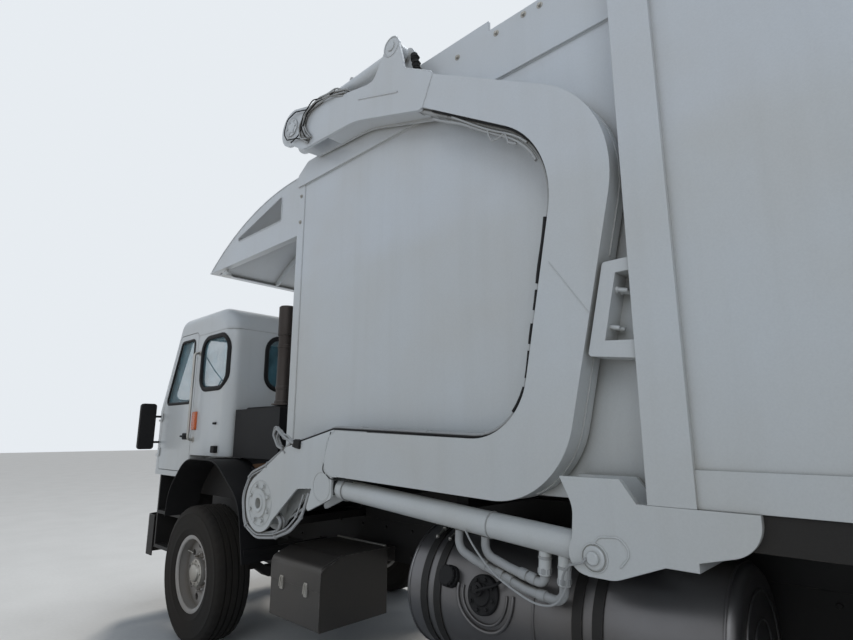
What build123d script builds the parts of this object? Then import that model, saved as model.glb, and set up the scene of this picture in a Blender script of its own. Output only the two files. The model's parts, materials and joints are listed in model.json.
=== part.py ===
from build123d import *
from math import hypot, sqrt
import os

# Front-loading refuse truck on a three-axle cab-over chassis, arms raised and forks folded back.
# Millimetres, +X forward, +Y left, +Z up, with the ground at zero below the middle of the truck.
os.makedirs("parts", exist_ok=True)

# Clearances: at pins and glass, and between moving pieces
FIT = 0.3
RUN = 6

# Lift arm pivot, from which everything on the arms is measured
PIVOT_X = 2200
PIVOT_Z = 1180
PIVOT_R = 90

# Chassis rails and cross members
RAIL_Y = 430
RAIL_FLANGE = 90
RAIL_H = 270
RAIL_T = 10
RAIL_TOP = 1030
RAIL_FRONT = 4560
RAIL_BACK = -4150
CROSS_X = (2420, 1500, 500, -500, -2150, -4060)
CROSS_W = 90
CROSS_H = 130

# Wheels and axles
TYRE_R = 530
TYRE_W = 290
RIM_R = 286
RIM_T = 12
FRONT_AXLE_X = 3320
FRONT_WHEEL_Y = 1045
TANDEM_X = -2150
TANDEM_GAP = 1340
DUAL_INNER_Y = 750
DUAL_OUTER_Y = 1085
KINGPIN_Y = 840
KINGPIN_R = 28
SPINDLE_R = 42
DRUM_R = 200
AXLE_TUBE_R = 65

# Hopper and body
HOPPER_Y = 1040
HOPPER_X = 2180
POST_Y = 1240
PANEL_Y = 1212
WALL = 10
FLOOR_Z = 1400
BODY_TOP = 3940
BODY_FRONT = -540
POST_LENGTH = 170
BODY_BACK = -4150
MOUTH_BACK = -80
REAR_X = -4800
SILL_TOP = 1280
CREASE_Z = 1530

# Canopy over the cab: its top is an arc about the arm pivot
CANOPY_R = 2530
CANOPY_Z = 3200
CANOPY_T = 8

# Cab
CAB_BACK = 3190
CAB_FRONT = 4745
CAB_Y = 1030
CAB_WALL = 40
CAB_FLOOR = 1250
CAB_SKIRT = 1460
CAB_TOP = 2830
SCREEN_FOOT = (4745, 1900)
SCREEN_HEAD = (4330, 2830)
DOOR_BACK = 3870
DOOR_FRONT = 4600
GLASS_T = 6
GLASS_INSET = 15
BUMPER_X = 4800

# Lift arms: the boxed section lies between the plates lapped over its ends
ARM_IN = 1070
ARM_OUT = 1220
LAP = 15
FORK_PIVOT = (-170, 2820)
FORK_TUBE_R = 80
FORK_Y = 720
FORK_LENGTH = 1250
FORK_T = 60

# Cylinders: base pin and rod eye, measured from the arm pivot, then radii
LIFT_BASE = (-2490, 20)
LIFT_EYE = (-720, 155)
LIFT_R = 58
LIFT_ROD_R = 35
LIFT_PIN_R = 30
FORK_BASE = (-1310, 2918)
FORK_EYE = (-350, 2910)
FORK_CYL_R = 45
FORK_ROD_R = 25
FORK_PIN_R = 20

# Tailgate hinge and its cylinders, in truck axes
GATE_HINGE = (-4140, 3985)
GATE_BASE = (-3000, 3100)
GATE_EYE = (-4270, 3210)
GATE_CYL_R = 30
GATE_ROD_R = 16
GATE_PIN_R = 15
GATE_GAP = 10


def side_plane(y, origin=(0, 0)):
    """Upright plane that faces right, with x forward and z up."""
    return Plane(origin=(origin[0], y, origin[1]), x_dir=(1, 0, 0), z_dir=(0, -1, 0))


def block(x, y, z, mode=Mode.ADD):
    """Box between two values on each axis."""
    with Locations(((x[0] + x[1]) / 2, (y[0] + y[1]) / 2, (z[0] + z[1]) / 2)):
        Box(x[1] - x[0], y[1] - y[0], z[1] - z[0], mode=mode)


def shaft(x, z, radius, y, mode=Mode.ADD):
    """Round bar across the truck, between two values of y."""
    with Locations(Location((x, (y[0] + y[1]) / 2, z), (90, 0, 0))):
        Cylinder(radius, y[1] - y[0], mode=mode)


def tube(y, z, radius, x, mode=Mode.ADD):
    """Round bar along the truck, between two values of x."""
    with Locations(Location(((x[0] + x[1]) / 2, y, z), (0, 90, 0))):
        Cylinder(radius, x[1] - x[0], mode=mode)


def post(x, y, radius, z, mode=Mode.ADD):
    """Upright round bar between two heights."""
    with Locations((x, y, (z[0] + z[1]) / 2)):
        Cylinder(radius, z[1] - z[0], mode=mode)


def rounded(corners):
    """Closed outline; each corner is its two coordinates and its radius."""
    with BuildSketch() as face:
        with BuildLine():
            FilletPolyline(*[c[:2] for c in corners], radius=[c[2] for c in corners], close=True)
        make_face()
    return face.sketch


def pair(corners):
    """Left outline on a cross plane, and its twin on the right."""
    return rounded(corners), rounded([(-a, b, r) for a, b, r in reversed(corners)])


def plate(corners, y, origin=(0, 0), mode=Mode.ADD):
    """Upright plate between two values of y; each corner is x, z and its radius."""
    extrude(side_plane(y[1], origin) * rounded(corners), amount=y[1] - y[0], mode=mode)


def section(corners, x, mode=Mode.ADD):
    """Bar along the truck between two values of x; each corner is y, z and its radius."""
    extrude(Plane.YZ.offset(x[0]) * rounded(corners), amount=x[1] - x[0], mode=mode)


def both(y):
    """The same span of y on the left and on the right."""
    return (y[0], y[1]), (-y[1], -y[0])


def from_pivot(point):
    """Truck coordinates of a point that is measured from the arm pivot."""
    return PIVOT_X + point[0], PIVOT_Z + point[1]


def aim(base, eye, y):
    """Plane at the base pin that looks at the rod's eye, and the distance between them."""
    dx, dz = eye[0] - base[0], eye[1] - base[1]
    return Plane(origin=(base[0], y, base[1]), x_dir=(0, 1, 0), z_dir=(dx, 0, dz)), hypot(dx, dz)


def round_bar(frame, radius, start, end, mode=Mode.ADD):
    """Round bar along a plane's normal, between two distances from the plane."""
    with BuildSketch(frame.offset(start)) as face:
        Circle(radius)
    extrude(face.sketch, amount=end - start, mode=mode)


def barrel(base, eye, y, radius, rod_radius, pin_radius):
    """Cylinder barrel with its rear eye and gland."""
    frame, length = aim(base, eye, y)
    front = length - 2 * radius
    half_eye = 0.6 * radius
    round_bar(frame, radius, half_eye, front)
    round_bar(frame, 1.05 * radius, front - radius, front)
    shaft(base[0], base[1], radius, (y - half_eye, y + half_eye))
    round_bar(frame, rod_radius + FIT, 1.5 * radius, length, mode=Mode.SUBTRACT)
    shaft(base[0], base[1], pin_radius + FIT, (y - radius, y + radius), mode=Mode.SUBTRACT)


def hose(plane, corners, radius):
    """Round line through corners in a plane; each corner is two coordinates and its bend radius."""
    with BuildLine(plane) as path:
        FilletPolyline(*[c[:2] for c in corners], radius=[c[2] for c in corners[1:-1]])
    with BuildSketch(Plane(origin=path.line @ 0, z_dir=path.line % 0)) as face:
        Circle(radius)
    sweep(face.sketch, path=path.line)


def inset(corners, gap):
    """The same run of corners moved to its right by a gap, with each bend about the same centre."""
    ways = []
    for start, end in zip(corners, corners[1:]):
        length = hypot(end[0] - start[0], end[1] - start[1])
        ways.append(((end[0] - start[0]) / length, (end[1] - start[1]) / length))
    moved = []
    for corner, before, after in zip(corners, ways[:1] + ways, ways + ways[-1:]):
        share = gap / (1 + before[0] * after[0] + before[1] * after[1])
        turn = after[0] * before[1] - after[1] * before[0]
        bend = corner[2] - gap if turn > 0 else corner[2] + gap
        moved.append((corner[0] + share * (before[1] + after[1]), corner[1] - share * (before[0] + after[0]),
                      bend))
    return tuple(moved)


def rod(base, eye, y, radius, rod_radius, pin_radius, lane):
    """Cylinder rod with its eye, and a pin that ends just inside the lane's two sides."""
    frame, length = aim(base, eye, y)
    round_bar(frame, rod_radius, 2 * radius, length)
    half_eye = 1.15 * rod_radius
    shaft(eye[0], eye[1], 1.7 * rod_radius, (y - half_eye, y + half_eye))
    shaft(eye[0], eye[1], pin_radius, (lane[0] + FIT, lane[1] - FIT))


def save(piece, label):
    """Name a finished sub-part and write it."""
    piece.part.label = label
    export_step(piece.part, f"parts/{label}.step")


# Chassis: two channel rails, their cross members and a front closing plate
CAB_MOUNT_X = (3240, 4420)
with BuildPart() as chassis_frame:
    for y in both((RAIL_Y - RAIL_FLANGE, RAIL_Y)):
        block((RAIL_BACK, RAIL_FRONT), y, (RAIL_TOP - RAIL_H, RAIL_TOP))
    for y in both((RAIL_Y - RAIL_FLANGE, RAIL_Y - RAIL_T)):
        block((RAIL_BACK, RAIL_FRONT), y, (RAIL_TOP - RAIL_H + RAIL_T, RAIL_TOP - RAIL_T), Mode.SUBTRACT)
    cross_y = RAIL_Y - RAIL_T
    cross_top = RAIL_TOP - RAIL_T
    for x in CROSS_X:
        block((x - CROSS_W / 2, x + CROSS_W / 2), (-cross_y, cross_y), (cross_top - CROSS_H, cross_top))
        block((x - CROSS_W / 2 + RAIL_T, x + CROSS_W / 2), (RAIL_T - cross_y, cross_y - RAIL_T),
              (cross_top - CROSS_H + RAIL_T, cross_top - RAIL_T), Mode.SUBTRACT)
    block((RAIL_FRONT - RAIL_T, RAIL_FRONT), (-cross_y, cross_y), (RAIL_TOP - RAIL_H, RAIL_TOP))
    for y in both((RAIL_Y - RAIL_FLANGE, RAIL_Y)):
        for x in CAB_MOUNT_X:
            block((x - 40, x + 40), y, (RAIL_TOP - 1, CAB_FLOOR))
save(chassis_frame, "chassis_frame")

# Front bumper: a pressed channel whose ends wrap round, with lamp holes and tow eyes
BUMPER_Z = (470, 850)
BUMPER_Y = 1025
BUMPER_DEPTH = 230
BUMPER_BEND = 110
LAMP_Y = 780
LAMP_SIZE = (240, 170)
LAMP_Z = 680
TOW_AT = (4700, 420)
TOW_Y = (390, 430)
TOW_BORE_R = 22
TOW_EYE_R = 50
with BuildPart() as front_bumper:
    back = BUMPER_X - BUMPER_DEPTH
    with BuildSketch(Plane.XY.offset(BUMPER_Z[0])):
        add(rounded(((back, -BUMPER_Y, 0), (BUMPER_X, -BUMPER_Y, BUMPER_BEND),
                     (BUMPER_X, BUMPER_Y, BUMPER_BEND), (back, BUMPER_Y, 0))))
        add(rounded(((back - 1, RAIL_T - BUMPER_Y, 0), (BUMPER_X - RAIL_T, RAIL_T - BUMPER_Y, BUMPER_BEND - RAIL_T),
                     (BUMPER_X - RAIL_T, BUMPER_Y - RAIL_T, BUMPER_BEND - RAIL_T), (back - 1, BUMPER_Y - RAIL_T, 0))),
            mode=Mode.SUBTRACT)
    extrude(amount=BUMPER_Z[1] - BUMPER_Z[0])
    lamp_z = (LAMP_Z - LAMP_SIZE[1] / 2, LAMP_Z + LAMP_SIZE[1] / 2)
    for y in both((LAMP_Y - LAMP_SIZE[0] / 2, LAMP_Y + LAMP_SIZE[0] / 2)):
        block((BUMPER_X - 2 * RAIL_T, BUMPER_X + 1), y, lamp_z, Mode.SUBTRACT)
    for y in both(TOW_Y):
        plate(((RAIL_FRONT, RAIL_TOP - 20, 0), (RAIL_FRONT, RAIL_TOP - RAIL_H, 0),
               (TOW_AT[0] - TOW_EYE_R, BUMPER_Z[0] + 60, 0), (TOW_AT[0] - TOW_EYE_R, TOW_AT[1], 0),
               (TOW_AT[0] + TOW_EYE_R, TOW_AT[1], 0), (BUMPER_X - RAIL_T, BUMPER_Z[0] + 60, 0),
               (BUMPER_X - RAIL_T, BUMPER_Z[1] - 20, 0)), y)
        shaft(*TOW_AT, TOW_EYE_R, y)
        shaft(*TOW_AT, TOW_BORE_R, (y[0] - 1, y[1] + 1), Mode.SUBTRACT)
save(front_bumper, "front_bumper")

# Headlamps: lens in the bumper's hole and a housing seated behind it
with BuildPart() as headlamps:
    for y in both((LAMP_Y - LAMP_SIZE[0] / 2, LAMP_Y + LAMP_SIZE[0] / 2)):
        block((BUMPER_X - RAIL_T, BUMPER_X - 3), (y[0] + 2, y[1] - 2), (lamp_z[0] + 2, lamp_z[1] - 2))
        block((BUMPER_X - RAIL_T - 60, BUMPER_X - RAIL_T), (y[0] - 15, y[1] + 15),
              (lamp_z[0] - 15, lamp_z[1] + 15))

# Engine and gearbox as one plain mass, hung in the rails under the cab's tunnel
ENGINE_X = (3205, 4040)
ENGINE_Y = 330
ENGINE_Z = (700, 1540)
GEARBOX_BACK = 2520
GEARBOX_Z = 820
GEARBOX_R = 220
SHAFT_R = 45
SHAFT_FLANGE = 40
with BuildPart() as engine_block:
    block(ENGINE_X, (-ENGINE_Y, ENGINE_Y), ENGINE_Z)
    tube(0, GEARBOX_Z, GEARBOX_R, (GEARBOX_BACK, ENGINE_X[0]))
    for x in (ENGINE_X[0] + 150, ENGINE_X[1] - 150):
        block((x - 60, x + 60), (-cross_y, cross_y), (RAIL_TOP - 170, RAIL_TOP - 90))
save(engine_block, "engine_block")

# Drive axles: tube, differential housing and spindles
DIFF_R = 200
SPINDLE_IN = 600
SPINDLE_OUT = (DUAL_INNER_Y + DUAL_OUTER_Y) / 2 + 120
DRIVE_X = (TANDEM_X + TANDEM_GAP / 2, TANDEM_X - TANDEM_GAP / 2)
with BuildPart() as drive_axles:
    for x in DRIVE_X:
        shaft(x, TYRE_R, AXLE_TUBE_R, (-SPINDLE_IN, SPINDLE_IN))
        shaft(x, TYRE_R, SPINDLE_R, (-SPINDLE_OUT, SPINDLE_OUT))
        with BuildSketch(Plane.XY.offset(TYRE_R)) as housing:
            add(rounded(((x, -260, 0), (x + 70, -260, 0), (x + DIFF_R, -70, 60),
                         (x + DIFF_R, 70, 60), (x + 70, 260, 0), (x, 260, 0))))
        revolve(housing.sketch, axis=Axis((x, 0, TYRE_R), (0, 1, 0)))
        tube(0, TYRE_R + 30, 95, (x, x + DIFF_R + 60))
    tube(0, TYRE_R + 30, 80, (DRIVE_X[0] - DIFF_R - 30, DRIVE_X[0]))

# Propeller shafts: gearbox to first drive axle, then to the second
NOSE_X = DRIVE_X[0] + DIFF_R + 60
with BuildPart() as drive_train:
    add(drive_axles.part)
    tube(0, GEARBOX_Z, SHAFT_R + 25, (GEARBOX_BACK - SHAFT_FLANGE, GEARBOX_BACK))
    for start, end in (((GEARBOX_BACK - SHAFT_FLANGE / 2, GEARBOX_Z), (NOSE_X - SHAFT_FLANGE, TYRE_R + 30)),
                       ((DRIVE_X[0] - DIFF_R - 10, TYRE_R + 30), (DRIVE_X[1] + DIFF_R + 40, TYRE_R + 30))):
        frame, length = aim(start, end, 0)
        round_bar(frame, SHAFT_R, 0, length)
save(drive_train, "drive_train")

# Rear suspension: walking beams under the axle tubes, on trunnions bracketed to the rails
BEAM_Y = (470, 560)
BEAM_TOP = TYRE_R - AXLE_TUBE_R
TRUNNION_Z = 420
with BuildPart() as rear_suspension:
    for y in both(BEAM_Y):
        plate(((DRIVE_X[1] - 110, BEAM_TOP, 20), (DRIVE_X[1] - 110, BEAM_TOP - 80, 20),
               (TANDEM_X - 150, TRUNNION_Z - 90, 60), (TANDEM_X + 150, TRUNNION_Z - 90, 60),
               (DRIVE_X[0] + 110, BEAM_TOP - 80, 20), (DRIVE_X[0] + 110, BEAM_TOP, 20)), y)
    for y in both((RAIL_Y, BEAM_Y[0])):
        plate(((TANDEM_X - 260, RAIL_TOP - 40, 20), (TANDEM_X - 140, TRUNNION_Z - 60, 50),
               (TANDEM_X + 140, TRUNNION_Z - 60, 50), (TANDEM_X + 260, RAIL_TOP - 40, 20)), y)
    for y in both((RAIL_Y, BEAM_Y[1] + 20)):
        shaft(TANDEM_X, TRUNNION_Z, 60, y)

# Front axle: dropped beam with kingpin bosses and kingpins
BOSS_R = 55
BOSS_HALF = 80
BEAM_DROP = 90
BEAM_HALF = 45
with BuildPart() as front_axle:
    low, high = TYRE_R - BEAM_DROP, TYRE_R
    section(((-KINGPIN_Y, high - BEAM_HALF, 0), (-600, high - BEAM_HALF, 60), (-480, low - BEAM_HALF, 60),
             (480, low - BEAM_HALF, 60), (600, high - BEAM_HALF, 60), (KINGPIN_Y, high - BEAM_HALF, 0),
             (KINGPIN_Y, high + BEAM_HALF, 0), (620, high + BEAM_HALF, 60), (500, low + BEAM_HALF, 60),
             (-500, low + BEAM_HALF, 60), (-620, high + BEAM_HALF, 60), (-KINGPIN_Y, high + BEAM_HALF, 0)),
            (FRONT_AXLE_X - 50, FRONT_AXLE_X + 50))
    for y in (-KINGPIN_Y, KINGPIN_Y):
        post(FRONT_AXLE_X, y, BOSS_R, (TYRE_R - BOSS_HALF, TYRE_R + BOSS_HALF))
        post(FRONT_AXLE_X, y, KINGPIN_R, (TYRE_R - BOSS_HALF - 45, TYRE_R + BOSS_HALF + 45))
save(front_axle, "front_axle")

# Front springs: leaf packs on the beam, with hangers to the rails
SPRING_HALF = 720
SPRING_SEAT = TYRE_R - BEAM_DROP + BEAM_HALF
LEAF_T = 16
with BuildPart() as front_springs:
    for y in both((RAIL_Y - 85, RAIL_Y - 5)):
        for leaf in range(4):
            half = SPRING_HALF - 130 * (3 - leaf)
            sag = 140 * (half / SPRING_HALF) ** 2
            foot = SPRING_SEAT + LEAF_T * leaf
            with BuildSketch(side_plane(y[1])) as curve:
                with BuildLine():
                    ThreePointArc((FRONT_AXLE_X - half, foot + sag), (FRONT_AXLE_X, foot),
                                  (FRONT_AXLE_X + half, foot + sag))
                    Line((FRONT_AXLE_X + half, foot + sag), (FRONT_AXLE_X + half, foot + sag + LEAF_T))
                    ThreePointArc((FRONT_AXLE_X + half, foot + sag + LEAF_T), (FRONT_AXLE_X, foot + LEAF_T),
                                  (FRONT_AXLE_X - half, foot + sag + LEAF_T))
                    Line((FRONT_AXLE_X - half, foot + sag + LEAF_T), (FRONT_AXLE_X - half, foot + sag))
                make_face()
            extrude(curve.sketch, amount=y[1] - y[0])
        for x in (FRONT_AXLE_X - SPRING_HALF + 30, FRONT_AXLE_X + SPRING_HALF - 30):
            block((x - 30, x + 30), y, (SPRING_SEAT + 3 * LEAF_T + 110, RAIL_TOP - RAIL_H))

with BuildPart() as suspension:
    add(rear_suspension.part)
    add(front_springs.part)
save(suspension, "suspension")

# Engine intake cover: the dark box between cab and hopper, on legs from the rails
COVER_X = (2430, 3150)
COVER_Y = (-820, 872)
SHOULDER_Y = 960
COVER_Z = (1215, 1880)
with BuildPart() as intake_cover:
    plate(((COVER_X[0], COVER_Z[0], 0), (COVER_X[1], COVER_Z[0], 0), (COVER_X[1], COVER_Z[1], 60),
           (COVER_X[0], COVER_Z[1], 60)), COVER_Y)
    block(COVER_X, (COVER_Y[1], SHOULDER_Y), (COVER_Z[1] - 425, COVER_Z[1] - 20))
    for y in both((RAIL_Y - 60, RAIL_Y)):
        block((COVER_X[0] + 60, COVER_X[1] - 60), y, (RAIL_TOP, COVER_Z[0]))
save(intake_cover, "intake_cover")

# Front mudguards: an arch over each wheel with an apron up to the cab skirt
GUARD_Y = (880, 1185)
GUARD_T = 8
GUARD_BACK = 2460
GUARD_LOW = 720
GUARD_TOP = 1442
GUARD_FRONT = 3945
with BuildPart() as front_mudguards:
    arch = rounded(((GUARD_BACK, GUARD_LOW, 0), (GUARD_BACK + 110, 1160, 350), (3010, GUARD_TOP, 450),
                    (3590, GUARD_TOP, 350), (3895, 1150, 350), (GUARD_FRONT, GUARD_LOW, 0)))
    for y in both(GUARD_Y):
        extrude(side_plane(y[1]) * arch, amount=y[1] - y[0])
        extrude(side_plane(y[1]) * offset(arch, amount=-GUARD_T), amount=y[1] - y[0], mode=Mode.SUBTRACT)
        block((GUARD_BACK - 1, GUARD_BACK + 400), y, (GUARD_LOW - 1, GUARD_LOW + GUARD_T), Mode.SUBTRACT)
        block((GUARD_BACK + 399, GUARD_FRONT + 1), y, (GUARD_LOW - 1, GUARD_LOW + 200), Mode.SUBTRACT)
    for y in both((RAIL_Y, GUARD_Y[1] - 20)):
        block((GUARD_BACK + 12, GUARD_BACK + 52), y, (RAIL_TOP - RAIL_H + 20, RAIL_TOP - RAIL_H + 60))
save(front_mudguards, "front_mudguards")

# Subframe: sills on the rails, bearers under the floor and side rails under the wide body
SILL_Y = (340, 430)
SILL_FRONT = 1990
BEARER_HALF = 40
BEARER_X = (1900, 1200, 500, -200)
BODY_BEARER_X = (-760, -1400, -2150, -2900, -3500, -4080)
with BuildPart() as subframe:
    for y in both(SILL_Y):
        block((RAIL_BACK, SILL_FRONT), y, (RAIL_TOP, SILL_TOP))
    for x in BEARER_X:
        block((x - BEARER_HALF, x + BEARER_HALF), (-HOPPER_Y, HOPPER_Y), (SILL_TOP, FLOOR_Z))
    for x in BODY_BEARER_X:
        block((x - BEARER_HALF, x + BEARER_HALF), (-PANEL_Y, PANEL_Y), (SILL_TOP, FLOOR_Z))
    for y in both((PANEL_Y - 2 * BEARER_HALF, PANEL_Y)):
        block((BODY_BACK, BODY_FRONT), y, (SILL_TOP, FLOOR_Z))
save(subframe, "subframe")

# Pivot bearings: pillow blocks on the rails and on outriggers beside the arms
OUTRIGGER_T = 50
PILLOW = ((-160, RAIL_TOP - PIVOT_Z, 0), (160, RAIL_TOP - PIVOT_Z, 0), (125, 140, 100), (-125, 140, 100))
with BuildPart() as pivot_bearings:
    for span in ((RAIL_Y - RAIL_FLANGE, RAIL_Y), (HOPPER_Y - 50, HOPPER_Y + 8)):
        for y in both(span):
            plate(PILLOW, y, (PIVOT_X, PIVOT_Z))
            shaft(PIVOT_X, PIVOT_Z, PIVOT_R + FIT, (y[0] - 1, y[1] + 1), Mode.SUBTRACT)
    for y in both((RAIL_Y - RAIL_FLANGE, HOPPER_Y + 8)):
        block((PIVOT_X - 160, PIVOT_X + 160), y, (RAIL_TOP, RAIL_TOP + OUTRIGGER_T))
save(pivot_bearings, "pivot_bearings")

# Hopper: open box with stepped top rails, corner posts and the packer's guide tracks
HOPPER_FRONT_Z = 3705
STEP_Z = 3790
RISE_X = 1570
LIP_Z = 3605
RAIL_PROUD = 18
GUARD_STRIP_X = (240, 800)
TRACK_Z = 1740
TRACK_GAP = 60
TRACK_T = 15
inner_y = HOPPER_Y - WALL
with BuildPart() as hopper:
    rim = ((HOPPER_X, HOPPER_FRONT_Z, 20), (HOPPER_X - 130, STEP_Z, 60), (HOPPER_X - 430, STEP_Z, 60),
           (RISE_X, BODY_TOP, 60), (BODY_FRONT, BODY_TOP, 0))
    for y in both((inner_y, HOPPER_Y)):
        plate(((BODY_FRONT, FLOOR_Z, 0), (HOPPER_X, FLOOR_Z, 0)) + rim, y)
    for y in both((HOPPER_Y, HOPPER_Y + RAIL_PROUD)):
        plate(((BODY_FRONT, LIP_Z, 0), (HOPPER_X, LIP_Z, 0)) + rim, y)
        block((BODY_FRONT, HOPPER_X), y, (FLOOR_Z - 20, FLOOR_Z + 45))
    for y in both((HOPPER_Y, HOPPER_Y + 6)):
        block((HOPPER_X - 85, HOPPER_X), y, (FLOOR_Z, LIP_Z))
    for y in both((HOPPER_Y, HOPPER_Y + RAIL_PROUD)):
        block(GUARD_STRIP_X, y, (BODY_TOP - 5, BODY_TOP + 65))
    block((BODY_FRONT, HOPPER_X), (-HOPPER_Y, HOPPER_Y), (FLOOR_Z, FLOOR_Z + WALL))
    block((HOPPER_X - WALL, HOPPER_X), (-HOPPER_Y, HOPPER_Y), (FLOOR_Z, HOPPER_FRONT_Z))
    block((BODY_FRONT, MOUTH_BACK), (-HOPPER_Y, HOPPER_Y), (BODY_TOP - WALL, BODY_TOP))
    for z in (TRACK_Z - TRACK_GAP / 2 - TRACK_T, TRACK_Z + TRACK_GAP / 2):
        for y in both((inner_y - TRACK_T, inner_y)):
            block((BODY_FRONT, HOPPER_X - WALL), y, (z, z + TRACK_T))
save(hopper, "hopper")

# Canopy over the cab: side gussets with a window, curved top sheet, ribs and front lip
CANOPY_RIBS_Y = (-350, 350)
GUSSET_T = 12
canopy_low = CANOPY_Z - PIVOT_Z
canopy_tip = sqrt(CANOPY_R ** 2 - canopy_low ** 2)
root = HOPPER_X - PIVOT_X
with BuildPart() as canopy:
    for y in both((HOPPER_Y - GUSSET_T, HOPPER_Y)):
        with BuildSketch(side_plane(y[1], (PIVOT_X, PIVOT_Z))) as gusset:
            Circle(CANOPY_R)
            with Locations(((canopy_tip + root) / 2, canopy_low + CANOPY_R / 2)):
                Rectangle(canopy_tip - root, CANOPY_R, mode=Mode.INTERSECT)
            add(rounded(((240, canopy_low + 200, 25), (1120, canopy_low + 200, 20),
                         (240, canopy_low + 425, 25))), mode=Mode.SUBTRACT)
        extrude(gusset.sketch, amount=y[1] - y[0])
    sheets = [(CANOPY_T, (-HOPPER_Y, HOPPER_Y))]
    sheets += [(80, (y - 5, y + 5)) for y in CANOPY_RIBS_Y]
    for depth, y in sheets:
        with BuildSketch(side_plane(y[1], (PIVOT_X, PIVOT_Z))) as sheet:
            Circle(CANOPY_R)
            Circle(CANOPY_R - depth, mode=Mode.SUBTRACT)
            with Locations(((canopy_tip + root) / 2, canopy_low + CANOPY_R / 2)):
                Rectangle(canopy_tip - root, CANOPY_R, mode=Mode.INTERSECT)
        extrude(sheet.sketch, amount=y[1] - y[0])
    tip_x = PIVOT_X + canopy_tip
    block((tip_x - 70, tip_x), (-HOPPER_Y, HOPPER_Y), (CANOPY_Z, CANOPY_Z + CANOPY_T))
    for y in both((HOPPER_Y - 60, HOPPER_Y)):
        block((HOPPER_X, tip_x), y, (CANOPY_Z, CANOPY_Z + CANOPY_T))
save(canopy, "canopy")

# Wide body: a boxed post ring at its front, smooth panels and lower side rails
with BuildPart() as body_shell:
    for half, x in ((POST_Y, (BODY_FRONT - POST_LENGTH, BODY_FRONT)), (PANEL_Y, (BODY_BACK, BODY_FRONT))):
        section(((-half, FLOOR_Z, 0), (half, FLOOR_Z, 0), (half, BODY_TOP, 70), (-half, BODY_TOP, 70)), x)
    for y in both((PANEL_Y - 1, PANEL_Y + 14)):
        block((BODY_BACK, BODY_FRONT - 1), y, (FLOOR_Z, CREASE_Z))
    section(((WALL - PANEL_Y, FLOOR_Z + WALL, 0), (PANEL_Y - WALL, FLOOR_Z + WALL, 0),
             (PANEL_Y - WALL, BODY_TOP - WALL, 60), (WALL - PANEL_Y, BODY_TOP - WALL, 60)),
            (BODY_BACK - 1, BODY_FRONT - WALL), Mode.SUBTRACT)
    block((BODY_FRONT - 2 * WALL, BODY_FRONT + 1), (-inner_y, inner_y), (FLOOR_Z + WALL, BODY_TOP - WALL),
          Mode.SUBTRACT)

# Tailgate: a curved shell that is open towards the body, with hinge ears and cylinder bosses
GATE_FRONT = BODY_BACK - GATE_GAP
GATE_LOW = 1330
EAR_Y = (640, 680)
GATE_SHAPE = ((GATE_FRONT, GATE_LOW, 0), (GATE_FRONT, BODY_TOP - 5, 0), (-4450, BODY_TOP - 5, 150),
              (REAR_X, 3560, 350), (REAR_X, 2250, 400), (-4430, GATE_LOW, 120))
GATE_VOID = ((GATE_FRONT + 1, GATE_LOW + WALL, 0), (GATE_FRONT + 1, BODY_TOP - 5 - WALL, 0),
             (-4450 + 2, BODY_TOP - 5 - WALL, 140), (REAR_X + WALL, 3560 - 5, 340),
             (REAR_X + WALL, 2250 + 5, 390), (-4430 + 6, GATE_LOW + WALL, 110))
with BuildPart() as tailgate:
    plate(GATE_SHAPE, (-PANEL_Y, PANEL_Y))
    plate(GATE_VOID, (WALL - PANEL_Y, PANEL_Y - WALL), mode=Mode.SUBTRACT)
    for y in both(EAR_Y):
        plate(((GATE_HINGE[0] - 45, GATE_HINGE[1], 0), (GATE_HINGE[0] + 38, GATE_HINGE[1], 0),
               (GATE_FRONT - 20, BODY_TOP - 5, 0), (GATE_FRONT - 200, BODY_TOP - 5, 0)), y)
        shaft(*GATE_HINGE, 38, y)
        shaft(*GATE_HINGE, 18 + FIT, (y[0] - 1, y[1] + 1), Mode.SUBTRACT)
    for y in both((PANEL_Y, PANEL_Y + RUN - 2)):
        shaft(*GATE_EYE, 45, y)
save(tailgate, "tailgate")

# Tailgate hinge: body ears each side of the gate's, with their pins
with BuildPart() as tailgate_hinge:
    for y in both(EAR_Y):
        for ear in ((y[0] - 26, y[0] - RUN), (y[1] + RUN, y[1] + 26)):
            plate(((GATE_HINGE[0] - 30, GATE_HINGE[1], 0), (BODY_BACK + 5, BODY_TOP, 0),
                   (GATE_HINGE[0] + 150, BODY_TOP, 0), (GATE_HINGE[0] + 30, GATE_HINGE[1], 0)), ear)
            shaft(*GATE_HINGE, 34, ear)
        shaft(*GATE_HINGE, 18, (y[0] - 30, y[1] + 30))
    add(body_shell.part)
save(tailgate_hinge, "body_shell")

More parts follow.
